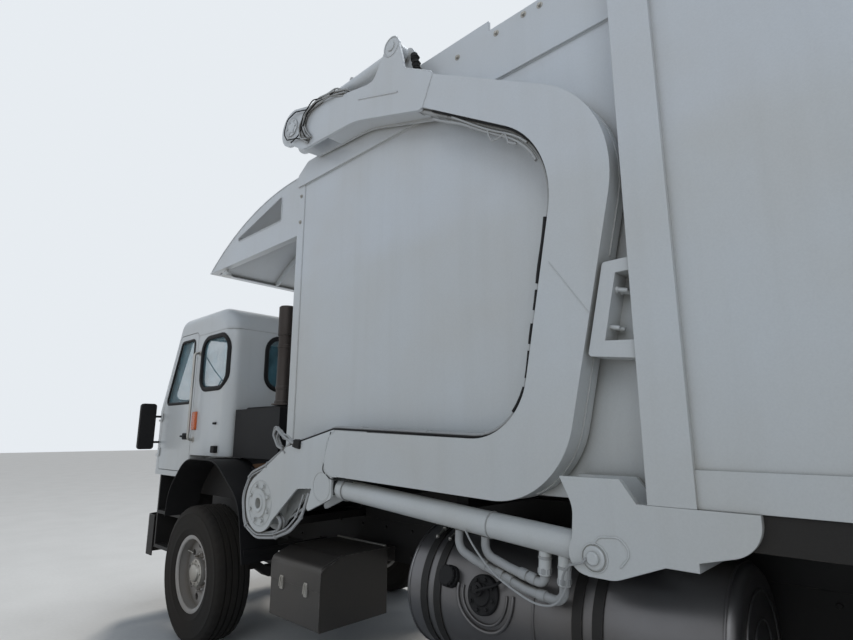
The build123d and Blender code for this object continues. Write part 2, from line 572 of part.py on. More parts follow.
# Lift cylinder mounts: cross box behind the base pins, inner cheeks, outer fairings and pins
MOUNT_BEAM_X = (-700, -440)
MOUNT_BEAM_Z = (1195, SILL_TOP)
LANE = (ARM_IN + LAP, ARM_OUT - LAP)
LANE_MID = (ARM_IN + ARM_OUT) / 2
with BuildPart() as cylinder_mounts:
    for y in both((SILL_Y[1], POST_Y)):
        block(MOUNT_BEAM_X, y, MOUNT_BEAM_Z)
    front_edge = ((-2490, -60, 0), (-2425, 20, 0), (-2440, 190, 120), (-2385, 305, 0))
    cheek = ((-2640, 305, 0), (-2720, 200, 0), (-2720, -20, 60))
    fairing = ((-2640, 305, 0), (-2700, 219, 0), (-3100, 219, 0), (-3100, 100, 120),
               (-2800, 20, 200), (-2600, -60, 120))
    for back_edge, span in ((cheek, (HOPPER_Y + 22, LANE[0] - 3)), (fairing, (LANE[1] + 7, POST_Y))):
        for y in both(span):
            plate(front_edge + back_edge, y, (PIVOT_X, PIVOT_Z))
            shaft(*from_pivot(LIFT_BASE), 78, y)
    for y in both((HOPPER_Y + 22, POST_Y)):
        shaft(*from_pivot(LIFT_BASE), LIFT_PIN_R, y)
    for y in both((PANEL_Y, PANEL_Y + 2 * RUN + 2 * GATE_CYL_R)):
        shaft(*GATE_BASE, GATE_PIN_R, y)

# Arm stops: pads on the wide post that the raised arms lean towards, each in a bracket open outwards
STOP_Y = (ARM_IN + 20, ARM_OUT - 5)
post_x = BODY_FRONT - PIVOT_X
with BuildPart() as arm_stops:
    for y in both(STOP_Y):
        plate(((post_x, 760, 0), (-2534, 785, 15), (-2622, 1170, 15), (post_x, 1170, 0)),
              y, (PIVOT_X, PIVOT_Z))
    for y in both((STOP_Y[0] + 15, STOP_Y[1] + 1)):
        plate(((post_x, 832, 0), (-2612, 842, 0), (-2674, 1116, 0), (post_x, 1116, 0)),
              y, (PIVOT_X, PIVOT_Z), Mode.SUBTRACT)

with BuildPart() as arm_mounts:
    add(cylinder_mounts.part)
    add(arm_stops.part)
save(arm_mounts, "arm_mounts")

# Lift arms: the boxed C, and at each end a pair of plates with an open lane between them
ARM_C = ((-820, 497, 0), (-2180, 440, 320), (-2453, 1807, 500), (-1480, 2426, 0),
         (-1540, 2617, 0), (-2774, 1891, 600), (-2370, 165, 420), (-950, 222, 0))
ARM_SKIN = ((-835, 492, 0), (-2180, 440, 320), (-2453, 1807, 500), (-1560, 2375, 0),
            (-1630, 2563, 0), (-2774, 1891, 600), (-2370, 165, 420), (-870, 221, 30),
            (-725, 227, 90), (-765, 440, 60))
PIVOT_PLATE = ((-1140, 484, 0), (-820, 497, 60), (-300, 385, 120), (70, 177, 0), (-65, -178, 0),
               (-453, 125, 60), (-614, 136, 0), (-553, -13, 20), (-822, 91, 30), (-822, 229, 0),
               (-1140, 215, 0))
LANE_FLANGE = ((-75, -150, 0), (-612, 107, 0), (-606, 119, 0), (-69, -138, 0))
PIVOT_STRIP = ((-900, 493, 0), (-820, 497, 60), (-300, 385, 120), (40, 194, 0),
               (33, 178, 0), (-304, 370, 105), (-818, 482, 45), (-900, 480, 0))
FORK_PLATE = ((-1580, 2343, 35), (-1672, 2552, 30), (-1430, 2700, 60), (-1375, 2918, 0),
              (-1245, 2918, 0), (-1130, 2745, 70), (-620, 2850, 200), (-190, 2970, 0),
              (-170, 2670, 0), (-330, 2575, 50), (-950, 2545, 700))
FORK_STRIP = ((-1540, 2375, 0), (-950, 2552, 700), (-620, 2562, 0),
              (-620, 2577, 0), (-945, 2567, 700), (-1535, 2392, 0))
LINE_BLOCK = ((-1546, 2384, 0), (-1504, 2411, 0), (-1489, 2388, 0), (-1531, 2361, 0))
PIVOT_BOSS_R = 190
FORK_BOSS_R = 150
END_PIN_R = 45
ARM_CAP = 10
ARM_STEP = 4
FORK_OUT = ARM_OUT + 8
for side, label in ((1, "arm_left"), (-1, "arm_right")):
    def span(low, high):
        """Span of y on this arm's side of the truck."""
        return (low, high) if side > 0 else (-high, -low)

    with BuildPart() as arm:
        origin = (PIVOT_X, PIVOT_Z)
        for corners in (ARM_C, PIVOT_STRIP, FORK_STRIP):
            plate(corners, span(*LANE), origin)
        plate(LANE_FLANGE, span(ARM_IN, LANE[0]), origin)
        plate(LINE_BLOCK, span(LANE_MID, LANE[1]), origin)
        for skin in ((ARM_IN, LANE[0]), (LANE[1], ARM_OUT + ARM_STEP)):
            plate(ARM_SKIN, span(*skin), origin)
        for lap in ((ARM_IN, LANE[0]), (LANE[1], ARM_OUT)):
            plate(PIVOT_PLATE, span(*lap), origin)
            shaft(*origin, PIVOT_BOSS_R, span(*lap))
            shaft(*from_pivot(LIFT_EYE), 85, span(*lap))
        for lap in ((ARM_IN, LANE[0]), (LANE[1], FORK_OUT)):
            plate(FORK_PLATE, span(*lap), origin)
            shaft(*from_pivot(FORK_PIVOT), FORK_BOSS_R, span(*lap))
            shaft(*from_pivot(FORK_BASE), 65, span(*lap))
        shaft(*origin, 150, span(ARM_IN - 8, ARM_OUT))
        shaft(*origin, 95, span(ARM_OUT, ARM_OUT + ARM_CAP))
        shaft(*origin, 36, span(ARM_OUT - 30, ARM_OUT + ARM_CAP + 1), Mode.SUBTRACT)
        shaft(*from_pivot(FORK_BASE), FORK_PIN_R, span(ARM_IN, FORK_OUT + 3))
        shaft(*from_pivot(FORK_PIVOT), END_PIN_R + FIT, span(ARM_IN - 1, FORK_OUT + 1), Mode.SUBTRACT)
    save(arm, label)

# Hydraulic lines on each arm: out of the lane, round the pivot boss and along the C's inner edge
LINE_R = 12
LINE_Y = (LANE[1] - LINE_R, LANE[1] - 3 * LINE_R - 1)
BOSS_RUN = ((-141.5, -51.5, 0), (-250, -91, 35), (-222, -167, 60),
            (65, -218, 200), (214, -77, 200), (189, 127, 200))
INNER_EDGE = ((70, 177, 0), (-300, 385, 120), (-820, 497, 60), (-2180, 440, 320),
              (-2453, 1807, 500), (-1547, 2383, 0))
with BuildPart() as arm_lines:
    for y in (*LINE_Y, *(-y for y in LINE_Y)):
        hose(side_plane(y, (PIVOT_X, PIVOT_Z)), BOSS_RUN + inset(INNER_EDGE, LINE_R + 0.5)[1:], LINE_R)
save(arm_lines, "arm_lines")

# Cross tube that joins the two arms at their pivot
with BuildPart() as arm_pivot_tube:
    shaft(PIVOT_X, PIVOT_Z, PIVOT_R, (8 - ARM_IN, ARM_IN - 8))
save(arm_pivot_tube, "arm_pivot_tube")

# Forks: cross tube between the arm ends, two tapered blades and a lever in each arm's lane
LEVER_LANE = (1110, 1180)
LEVER_T = 14
with BuildPart() as fork_frame:
    fork_at = from_pivot(FORK_PIVOT)
    shaft(*fork_at, FORK_TUBE_R, (20 - ARM_IN, ARM_IN - 20))
    shaft(*fork_at, END_PIN_R, (-FORK_OUT - 10, FORK_OUT + 10))
    for y in both((FORK_Y - FORK_T / 2, FORK_Y + FORK_T / 2)):
        plate(((0, 92, 0), (-1000, 64, 0), (-FORK_LENGTH, 20, 14), (-FORK_LENGTH, -14, 14),
               (-320, -64, 300), (0, -82, 0)), y, fork_at)
        shaft(*fork_at, 98, y)
    for y in both((FORK_OUT + 1, FORK_OUT + 10)):
        shaft(*fork_at, 70, y)
    for y in both((LANE[0] + 5, LANE[1] - 5)):
        shaft(*fork_at, 72, y)
    for lane in ((LEVER_LANE[0] - LEVER_T, LEVER_LANE[0]), (LEVER_LANE[1], LEVER_LANE[1] + LEVER_T)):
        for y in both(lane):
            plate(((34, 67, 0), (-161, 128, 0), (-199, 52, 0), (-34, -67, 0)), y, fork_at)
            shaft(*from_pivot(FORK_EYE), 42, y)
save(fork_frame, "fork_frame")

# Cylinders in pairs: name, base pin, rod eye, radius, rod radius, pin radius, lane for the eye's pin
CYLINDERS = (
    ("lift", from_pivot(LIFT_BASE), from_pivot(LIFT_EYE), LIFT_R, LIFT_ROD_R, LIFT_PIN_R, LANE),
    ("fork", from_pivot(FORK_BASE), from_pivot(FORK_EYE), FORK_CYL_R, FORK_ROD_R, FORK_PIN_R, LEVER_LANE),
    ("tailgate", GATE_BASE, GATE_EYE, GATE_CYL_R, GATE_ROD_R, GATE_PIN_R,
     (PANEL_Y + RUN - 2, PANEL_Y + 2 * RUN + 2 * GATE_CYL_R)),
)
# Ports on the lift cylinders: distance from the base pin, and depth of the stub below the axis
PORTS = ((240, 150), (147, 170))
PORT_R = 27
# Lines under each lift cylinder in its own axes: distance from the base pin, height, bend radius
LIFT_LINES = (
    ((240, -150.5, 0), (240, -190, 28), (420, -165, 80), (560, -135, 60), (560, -58.5, 0)),
    ((147, -170.5, 0), (147, -240, 45), (330, -232, 120), (620, -175, 100), (720, -145, 60), (720, -58.5, 0)),
)
LIFT_LINE_R = 20


def upright(base, eye, y):
    """Upright plane at a cylinder's base pin with its first axis along the cylinder."""
    return Plane(origin=(base[0], y, base[1]), x_dir=(eye[0] - base[0], 0, eye[1] - base[1]),
                 z_dir=(0, -1, 0))


for name, base, eye, radius, rod_r, pin_r, lane in CYLINDERS:
    lane_mid = (lane[0] + lane[1]) / 2
    with BuildPart() as barrels:
        for y in (lane_mid, -lane_mid):
            barrel(base, eye, y, radius, rod_r, pin_r)
            level = upright(base, eye, y)
            for along, depth in PORTS if name == "lift" else ():
                stub = Plane(origin=level.from_local_coords((along, 0, 0)), z_dir=-level.y_dir)
                round_bar(stub, PORT_R, 0.9 * radius, depth)
    save(barrels, f"{name}_cylinder_barrels")
    with BuildPart() as rods:
        for y in (lane_mid, -lane_mid):
            rod(base, eye, y, radius, rod_r, pin_r, lane if y > 0 else (-lane[1], -lane[0]))
    save(rods, f"{name}_cylinder_rods")

# Lines under the lift cylinders, from port to port
with BuildPart() as lift_lines:
    for y in (LANE_MID, -LANE_MID):
        for corners in LIFT_LINES:
            hose(upright(from_pivot(LIFT_BASE), from_pivot(LIFT_EYE), y), corners, LIFT_LINE_R)
save(lift_lines, "lift_lines")

# Packer: a ribbed curved blade that runs along the hopper on shoes in the side tracks
PACKER_BACK = 1930
PACKER_FRONT = 2170
PACKER_TOP = 2640
PACKER_Y = inner_y - 20
with BuildPart() as packer_panel:
    plate(((PACKER_FRONT, FLOOR_Z + WALL + RUN, 0), (PACKER_FRONT, PACKER_TOP - 60, 30),
           (PACKER_FRONT - 80, PACKER_TOP, 30), (PACKER_BACK + 90, PACKER_TOP, 30),
           (PACKER_BACK + 40, 2000, 500), (PACKER_BACK, FLOOR_Z + WALL + RUN, 0)), (-PACKER_Y, PACKER_Y))
    block((PACKER_BACK + 90, PACKER_FRONT + 1), (-PACKER_Y + 40, PACKER_Y - 40),
          (FLOOR_Z + 120, PACKER_TOP - 200), Mode.SUBTRACT)
    for y in both((PACKER_Y, inner_y - 4)):
        block((PACKER_BACK + 60, PACKER_FRONT - 10), y,
              (TRACK_Z - TRACK_GAP / 2 + RUN, TRACK_Z + TRACK_GAP / 2 - RUN))
save(packer_panel, "packer_panel")

# Cab: one shell with a raked screen, rounded edges, wheel notch, engine tunnel and cut windows
CAB_EDGE = 110
WINDOW_R = 130
NOTCH_Y = 868
TUNNEL_Y = 420
TUNNEL_TOP = 1620
TUNNEL_FRONT = 4090
DOOR_LOW = 1300
DOOR_TOP = 2640
SCREEN_LOW = 2000
SCREEN_TOP = 2680
SCREEN_Y = 905
PILLAR = 30
REAR_WINDOW_Y = (220, 670)
HINGE_X = DOOR_FRONT - 15
HINGE_Y = CAB_Y + 8
HINGE_R = 9
HINGE_PIN_R = 5
HINGE_Z = (1450, 1800)
WINDOW_Z = (2060, 2550)
WINDOW_BACK = 3245
WINDOW_FRONT = 3760


def screen_x(z):
    """Outer face of the windscreen's slope at a height."""
    lean = (SCREEN_HEAD[0] - SCREEN_FOOT[0]) / (SCREEN_HEAD[1] - SCREEN_FOOT[1])
    return SCREEN_FOOT[0] + lean * (z - SCREEN_FOOT[1])


cab_side = rounded(((CAB_BACK, CAB_FLOOR, 0), (CAB_FRONT, CAB_FLOOR, 0), (*SCREEN_FOOT, 120),
                    (*SCREEN_HEAD, 150), (CAB_BACK, CAB_TOP, 320)))
door_hole = rounded(((DOOR_BACK, DOOR_LOW, 40), (DOOR_FRONT, DOOR_LOW, 40), (DOOR_FRONT, 1870, 60),
                     (screen_x(DOOR_TOP) - 125, DOOR_TOP, 60), (DOOR_BACK, DOOR_TOP, 60)))
door_window = rounded(((DOOR_BACK + 75, 1950, 50), (screen_x(1950) - 205, 1950, 40),
                       (screen_x(DOOR_TOP - 70) - 205, DOOR_TOP - 70, 50), (DOOR_BACK + 75, DOOR_TOP - 70, 50)))
side_window = rounded(((WINDOW_BACK, WINDOW_Z[0], WINDOW_R), (WINDOW_FRONT, WINDOW_Z[0], WINDOW_R),
                       (WINDOW_FRONT, WINDOW_Z[1], WINDOW_R), (WINDOW_BACK, WINDOW_Z[1], WINDOW_R)))
rear_windows = pair(((REAR_WINDOW_Y[0], WINDOW_Z[0], WINDOW_R), (REAR_WINDOW_Y[1], WINDOW_Z[0], WINDOW_R),
                     (REAR_WINDOW_Y[1], WINDOW_Z[1], WINDOW_R), (REAR_WINDOW_Y[0], WINDOW_Z[1], WINDOW_R)))
screens = pair(((PILLAR, SCREEN_LOW, 40), (SCREEN_Y, SCREEN_LOW, 90),
                (SCREEN_Y - 30, SCREEN_TOP, 90), (PILLAR, SCREEN_TOP, 40)))
with BuildPart() as cab_shell:
    extrude(side_plane(CAB_Y) * cab_side, amount=2 * CAB_Y)
    rims = cab_shell.edges().filter_by(lambda e: abs(abs(e.center().Y) - CAB_Y) < 1)
    fillet(rims.filter_by(lambda e: e.center().Z > CAB_FLOOR + 1), radius=CAB_EDGE)
    for y in both((NOTCH_Y, CAB_Y + 1)):
        block((CAB_BACK - 1, DOOR_BACK - 10), y, (CAB_FLOOR - 1, CAB_SKIRT), Mode.SUBTRACT)
    with BuildPart(mode=Mode.PRIVATE) as void:
        extrude(side_plane(CAB_Y - CAB_WALL) * offset(cab_side, amount=-CAB_WALL),
                amount=2 * (CAB_Y - CAB_WALL))
        for y in both((NOTCH_Y - CAB_WALL, CAB_Y)):
            block((CAB_BACK, DOOR_BACK - 10 + CAB_WALL), y, (CAB_FLOOR, CAB_SKIRT + CAB_WALL), Mode.SUBTRACT)
        block((CAB_BACK, TUNNEL_FRONT), (-TUNNEL_Y, TUNNEL_Y), (CAB_FLOOR, TUNNEL_TOP), Mode.SUBTRACT)
    add(void.part, mode=Mode.SUBTRACT)
    block((CAB_BACK - 1, TUNNEL_FRONT - CAB_WALL), (CAB_WALL - TUNNEL_Y, TUNNEL_Y - CAB_WALL),
          (CAB_FLOOR - 1, TUNNEL_TOP - CAB_WALL), Mode.SUBTRACT)
    extrude(side_plane(CAB_Y + 1) * door_hole, amount=2 * CAB_Y + 2, mode=Mode.SUBTRACT)
    extrude(side_plane(CAB_Y + 1) * side_window, amount=2 * CAB_Y + 2, mode=Mode.SUBTRACT)
    for pane in rear_windows:
        extrude(Plane.YZ.offset(CAB_BACK - 1) * pane, amount=CAB_WALL + 2, mode=Mode.SUBTRACT)
    for pane in screens:
        extrude(Plane.YZ.offset(screen_x(SCREEN_TOP) - 150) * pane, amount=600, mode=Mode.SUBTRACT)
    for z in HINGE_Z:
        for y in both((CAB_Y - 10, HINGE_Y + 4)):
            block((DOOR_FRONT + 2, DOOR_FRONT + 60), y, (z - 20, z - FIT))
        for y in both((CAB_Y + 3, HINGE_Y + 4)):
            block((HINGE_X - HINGE_PIN_R, DOOR_FRONT + 2), y, (z - 20, z - FIT))
        for y in (-HINGE_Y, HINGE_Y):
            post(HINGE_X, y, HINGE_PIN_R, (z - 10, z + 39))
save(cab_shell, "cab_shell")

# Cab glass: rear, quarter and windscreen panes set into the wall's thickness
with BuildPart() as cab_glass:
    quarter = offset(side_window, amount=-FIT)
    for y in both((CAB_Y - GLASS_INSET - GLASS_T, CAB_Y - GLASS_INSET)):
        extrude(side_plane(y[1]) * quarter, amount=GLASS_T)
    for pane in rear_windows:
        extrude(Plane.YZ.offset(CAB_BACK + GLASS_INSET) * offset(pane, amount=-FIT), amount=GLASS_T)
    with BuildPart(mode=Mode.PRIVATE) as slope:
        low, high = (screen_x(SCREEN_LOW - 100) - 20, SCREEN_LOW - 100), (screen_x(SCREEN_TOP + 100) - 20, SCREEN_TOP + 100)
        plate(((*low, 0), (*high, 0), (high[0] - GLASS_T, high[1], 0), (low[0] - GLASS_T, low[1], 0)),
              (-SCREEN_Y, SCREEN_Y))
    with BuildPart(mode=Mode.PRIVATE) as panes:
        for pane in screens:
            extrude(Plane.YZ.offset(screen_x(SCREEN_TOP) - 150) * offset(pane, amount=-FIT), amount=600)
        add(slope.part, mode=Mode.INTERSECT)
    add(panes.part)
save(cab_glass, "cab_glass")

# Doors: a panel as thick as the cab wall with its window, and the hinge barrels
for side, label in ((1, "left"), (-1, "right")):
    face_y = CAB_Y if side > 0 else CAB_WALL - CAB_Y
    with BuildPart() as door:
        extrude(side_plane(face_y) * offset(door_hole, amount=-RUN), amount=CAB_WALL)
        extrude(side_plane(face_y + 1) * door_window, amount=CAB_WALL + 2, mode=Mode.SUBTRACT)
        for z in HINGE_Z:
            post(HINGE_X, side * HINGE_Y, HINGE_R, (z, z + 60))
            post(HINGE_X, side * HINGE_Y, HINGE_PIN_R + FIT, (z - 1, z + 40), Mode.SUBTRACT)
    save(door, f"door_{label}")
    glass_y = CAB_Y - GLASS_INSET if side > 0 else GLASS_INSET + GLASS_T - CAB_Y
    with BuildPart() as door_glass:
        extrude(side_plane(glass_y) * offset(door_window, amount=-FIT), amount=GLASS_T)
    save(door_glass, f"door_glass_{label}")

# Grille: frame, back plate and slats on the cab's front face
GRILLE_Y = 470
GRILLE_Z = (1330, 1780)
SLATS = 9
with BuildPart() as grille:
    block((CAB_FRONT, CAB_FRONT + 3), (-GRILLE_Y, GRILLE_Y), GRILLE_Z)
    section(((-GRILLE_Y, GRILLE_Z[0], 30), (GRILLE_Y, GRILLE_Z[0], 30),
             (GRILLE_Y, GRILLE_Z[1], 30), (-GRILLE_Y, GRILLE_Z[1], 30)), (CAB_FRONT, CAB_FRONT + 24))
    block((CAB_FRONT + 3, CAB_FRONT + 25), (25 - GRILLE_Y, GRILLE_Y - 25),
          (GRILLE_Z[0] + 25, GRILLE_Z[1] - 25), Mode.SUBTRACT)
    pitch = (GRILLE_Z[1] - GRILLE_Z[0] - 50) / SLATS
    for n in range(SLATS):
        z = GRILLE_Z[0] + 25 + pitch * (n + 0.5)
        block((CAB_FRONT + 3, CAB_FRONT + 20), (25 - GRILLE_Y, GRILLE_Y - 25), (z - 7, z + 7))
save(grille, "grille")

# Mirrors: an arm from the front pillar and a tall head ahead of each door
MIRROR_X = (4602, 4645)
MIRROR_Y = (1095, 1245)
MIRROR_Z = (1500, 1960)
with BuildPart() as mirrors:
    for y in both(MIRROR_Y):
        with BuildPart(mode=Mode.PRIVATE) as head:
            block(MIRROR_X, y, MIRROR_Z)
            fillet(head.edges().filter_by(Axis.X), radius=30)
        add(head.part)
    for z in (MIRROR_Z[0] + 70, MIRROR_Z[1] - 130):
        for y in both((CAB_Y, MIRROR_Y[0] + 10)):
            shaft(MIRROR_X[1] - 12, z, 11, y)
save(mirrors, "mirrors")

# Cab steps: two treads in a side frame hung from the cab floor below each door
STEP_X = (3965, 4520)
STEP_Y = (720, 1025)
STEP_TREADS = (560, 880)
with BuildPart() as cab_steps:
    for y in both(STEP_Y):
        for x in ((STEP_X[0], STEP_X[0] + 25), (STEP_X[1] - 25, STEP_X[1])):
            block(x, y, (STEP_TREADS[0], CAB_FLOOR))
        for z in STEP_TREADS:
            block(STEP_X, y, (z, z + 30))
save(cab_steps, "cab_steps")

# Seats: cushion, back and pedestal for the driver and the helper
SEAT_Y = 640
SEAT_X = 3420
with BuildPart() as seats:
    for y in both((SEAT_Y - 230, SEAT_Y + 230)):
        plate(((SEAT_X, 1700, 40), (SEAT_X + 520, 1720, 60), (SEAT_X + 520, 1830, 50),
               (SEAT_X + 130, 1800, 40), (SEAT_X + 20, 2500, 50), (SEAT_X - 110, 2500, 50)), y)
        block((SEAT_X + 120, SEAT_X + 420), (y[0] + 80, y[1] - 80), (CAB_FLOOR + CAB_WALL, 1715))

# Cab interior: the seats, the dashboard and the steering wheel on the left
DASH_Z = 1900
with BuildPart() as cab_interior:
    add(seats.part)
    plate(((4703, 1290, 0), (4703, DASH_Z - 80, 60), (4600, DASH_Z, 60), (4420, DASH_Z - 60, 60),
           (4440, 1700, 80), (4600, 1600, 60), (4640, 1290, 0)), (60 - CAB_Y, CAB_Y - 60))
    wheel_frame = Plane(origin=(4290, SEAT_Y, 2010), x_dir=(0, 1, 0), z_dir=(-0.6, 0, 0.8))
    with BuildSketch(wheel_frame) as rim:
        Circle(225)
        Circle(195, mode=Mode.SUBTRACT)
        for turn in (0, 90):
            with Locations(Location((0, 0, 0), (0, 0, turn))):
                Rectangle(400, 34)
        Circle(60)
    extrude(rim.sketch, amount=28)
    round_bar(wheel_frame, 32, -320, 10)
save(cab_interior, "cab_interior")

# Exhaust stack on the intake cover, with a cut top
STACK_AT = (2530, 880)
STACK_R = 58
STACK_TOP = 2700
with BuildPart() as exhaust_stack:
    post(*STACK_AT, STACK_R, (COVER_Z[1], STACK_TOP))
    post(*STACK_AT, STACK_R - 4, (STACK_TOP - 250, STACK_TOP + 1), Mode.SUBTRACT)
    post(*STACK_AT, STACK_R + 30, (COVER_Z[1], COVER_Z[1] + 12))
save(exhaust_stack, "exhaust_stack")

# Fuel tank: domed cylinder beside the left rail, on brackets with paired straps
TANK_R = 315
TANK_Y = 800
TANK_Z = 850
TANK_X = (-750, 850)
STRAP_X = (700, 610, -160, -250)
STRAP_W = 45
STRAP_T = 6
with BuildPart() as fuel_tank:
    tube(TANK_Y, TANK_Z, TANK_R, TANK_X)
    fillet(fuel_tank.edges().filter_by(GeomType.CIRCLE), radius=45)
save(fuel_tank, "fuel_tank")
with BuildPart() as tank_straps:
    for x in STRAP_X:
        tube(TANK_Y, TANK_Z, TANK_R + FIT + STRAP_T, (x - STRAP_W / 2, x + STRAP_W / 2))
        block((x - STRAP_W / 2, x + STRAP_W / 2), (RAIL_Y, TANK_Y - TANK_R), (RAIL_TOP - RAIL_H, TANK_Z + 60))
        tube(TANK_Y, TANK_Z, TANK_R + FIT, (x - STRAP_W / 2 - 1, x + STRAP_W / 2 + 1), Mode.SUBTRACT)
save(tank_straps, "tank_straps")

# Tool box on the left: bent-over lid and two brackets to the rail
BOX_X = (1594, 2160)
BOX_Y = (560, 1120)
BOX_Z = (458, 830)
LID_RISE = 50
with BuildPart() as tool_box:
    section(((BOX_Y[0], BOX_Z[0], 0), (BOX_Y[1], BOX_Z[0], 12), (BOX_Y[1], BOX_Z[1], 40),
             (BOX_Y[1] - 140, BOX_Z[1] + LID_RISE, 120), (BOX_Y[0], BOX_Z[1] + LID_RISE, 0)), BOX_X)
    for x in (BOX_X[0] + 90, BOX_X[1] - 90):
        block((x - 30, x + 30), (RAIL_Y, BOX_Y[0]), (RAIL_TOP - RAIL_H + 10, BOX_Z[1] + 30))
save(tool_box, "tool_box")

# Right side: hydraulic oil tank and battery box on rail brackets
with BuildPart() as side_boxes:
    section(((-1130, 560, 60), (-560, 560, 60), (-560, 1130, 60), (-1130, 1130, 60)), (1180, 1880))
    for x in (1300, 1760):
        block((x - 30, x + 30), (-560, -RAIL_Y), (RAIL_TOP - RAIL_H + 10, RAIL_TOP - 40))
    section(((-1120, 600, 15), (-600, 600, 15), (-600, 1020, 15), (-1120, 1020, 40)), (300, 1060))
    for x in (420, 940):
        block((x - 30, x + 30), (-600, -RAIL_Y), (RAIL_TOP - RAIL_H + 10, RAIL_TOP - 60))
save(side_boxes, "side_boxes")

# Rear underrun bar with lamp boxes, hung from the rail ends
UNDERRUN_Z = (500, 620)
UNDERRUN_Y = 1150
with BuildPart() as rear_underrun:
    block((RAIL_BACK - 60, RAIL_BACK + 50), (-UNDERRUN_Y, UNDERRUN_Y), UNDERRUN_Z)
    for y in both((RAIL_Y, RAIL_Y + 20)):
        plate(((RAIL_BACK - 50, UNDERRUN_Z[0] + 20, 0), (RAIL_BACK + 120, UNDERRUN_Z[0] + 20, 0),
               (RAIL_BACK + 220, RAIL_TOP - 60, 0), (RAIL_BACK, RAIL_TOP - 60, 0)), y)
save(rear_underrun, "rear_underrun")
with BuildPart() as lamps:
    add(headlamps.part)
    for y in both((UNDERRUN_Y - 330, UNDERRUN_Y - 30)):
        block((RAIL_BACK - 95, RAIL_BACK - 60), y, (UNDERRUN_Z[0] + 10, UNDERRUN_Z[1] - 10))
save(lamps, "lamps")

# Steering knuckles: yoke round the axle boss, spindle and steering lever
YOKE_IN = BOSS_R + 12
for side, label in ((1, "left"), (-1, "right")):
    pin_y = side * KINGPIN_Y
    with BuildPart() as knuckle:
        for z in ((TYRE_R - BOSS_HALF - 50, TYRE_R - BOSS_HALF - 3), (TYRE_R + BOSS_HALF + 3, TYRE_R + BOSS_HALF + 50)):
            post(FRONT_AXLE_X, pin_y, 52, z)
            y = sorted((pin_y, pin_y + side * (YOKE_IN + 20)))
            block((FRONT_AXLE_X - 50, FRONT_AXLE_X + 50), y, z)
        y = sorted((pin_y + side * YOKE_IN, pin_y + side * (YOKE_IN + 30)))
        block((FRONT_AXLE_X - 70, FRONT_AXLE_X + 70), y, (TYRE_R - BOSS_HALF - 50, TYRE_R + BOSS_HALF + 50))
        y = sorted((pin_y + side * YOKE_IN, side * (FRONT_WHEEL_Y + 50)))
        shaft(FRONT_AXLE_X, TYRE_R, SPINDLE_R, y)
        post(FRONT_AXLE_X, pin_y, KINGPIN_R + FIT, (TYRE_R - 200, TYRE_R + 200), Mode.SUBTRACT)
    save(knuckle, f"knuckle_{label}")

# Wheels: name, axle x, hub span, drum span, and for each tyre its middle and the disc's offset
FRONT_HUB = (KINGPIN_Y + YOKE_IN + 32, FRONT_WHEEL_Y + 75)
DUAL_MID = (DUAL_INNER_Y + DUAL_OUTER_Y) / 2
REAR_HUB = (SPINDLE_IN + 5, DUAL_MID + 150)
WHEELS = [("front", FRONT_AXLE_X, FRONT_HUB, (FRONT_HUB[0], FRONT_HUB[0] + 100), ((FRONT_WHEEL_Y, 20),))]
WHEELS += [(name, x, REAR_HUB, (REAR_HUB[0] + 20, REAR_HUB[0] + 190),
            ((DUAL_INNER_Y, DUAL_MID - DUAL_INNER_Y - RIM_T / 2), (DUAL_OUTER_Y, DUAL_MID - DUAL_OUTER_Y + RIM_T / 2)))
           for name, x in (("drive_front", DRIVE_X[0]), ("drive_rear", DRIVE_X[1]))]
HUB_R = 110
for name, x, hub, drum, tyres in WHEELS:
    for side, label in ((1, "left"), (-1, "right")):
        axis = Axis((x, 0, TYRE_R), (0, 1, 0))
        half = TYRE_W / 2
        with BuildPart() as rubber:
            for middle, dish in tyres:
                y = side * middle
                with BuildSketch(Plane(origin=(x, y, TYRE_R), x_dir=(0, 0, 1), z_dir=(1, 0, 0))) as wall:
                    with BuildLine():
                        Polyline((RIM_R, -half + 25), (RIM_R + 90, -half), (TYRE_R - 90, -half),
                                 (TYRE_R - 8, 22 - half), (TYRE_R, 45 - half), (TYRE_R, half - 45),
                                 (TYRE_R - 8, half - 22), (TYRE_R - 90, half), (RIM_R + 90, half),
                                 (RIM_R, half - 25), close=True)
                    make_face()
                revolve(wall.sketch, axis=axis)
        save(rubber, f"tyre_{name}_{label}")
        with BuildPart() as wheel:
            for middle, dish in tyres:
                disc = side * (middle + dish)
                low = min(side * middle - half + 30, disc - RIM_T / 2)
                high = max(side * middle + half - 30, disc + RIM_T / 2)
                shaft(x, TYRE_R, RIM_R, (low, high))
                shaft(x, TYRE_R, RIM_R - RIM_T, (low - 1, high + 1), Mode.SUBTRACT)
                shaft(x, TYRE_R, RIM_R - 1, (disc - RIM_T / 2, disc + RIM_T / 2))
            for turn in range(10):
                with Locations(Location((x, 0, TYRE_R), (0, 36 * turn, 0))):
                    with Locations(Location((215, side * tyres[0][0], 0), (90, 0, 0))):
                        Cylinder(28, 2 * DUAL_MID - 900, mode=Mode.SUBTRACT)
            shaft(x, TYRE_R, HUB_R, tuple(sorted((side * hub[0], side * hub[1]))))
            shaft(x, TYRE_R, DRUM_R, tuple(sorted((side * drum[0], side * drum[1]))))
            shaft(x, TYRE_R, SPINDLE_R + 0.05, tuple(sorted((side * (hub[0] - 1), side * (hub[1] - 20)))), Mode.SUBTRACT)
        save(wheel, f"rim_{name}_{label}")
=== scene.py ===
"""Looks of the front-loader refuse truck: materials, dressing pieces, camera, light and floor round the CAD frame."""
import json
from math import cos, degrees, pi, radians, sin, sqrt, tan, tau

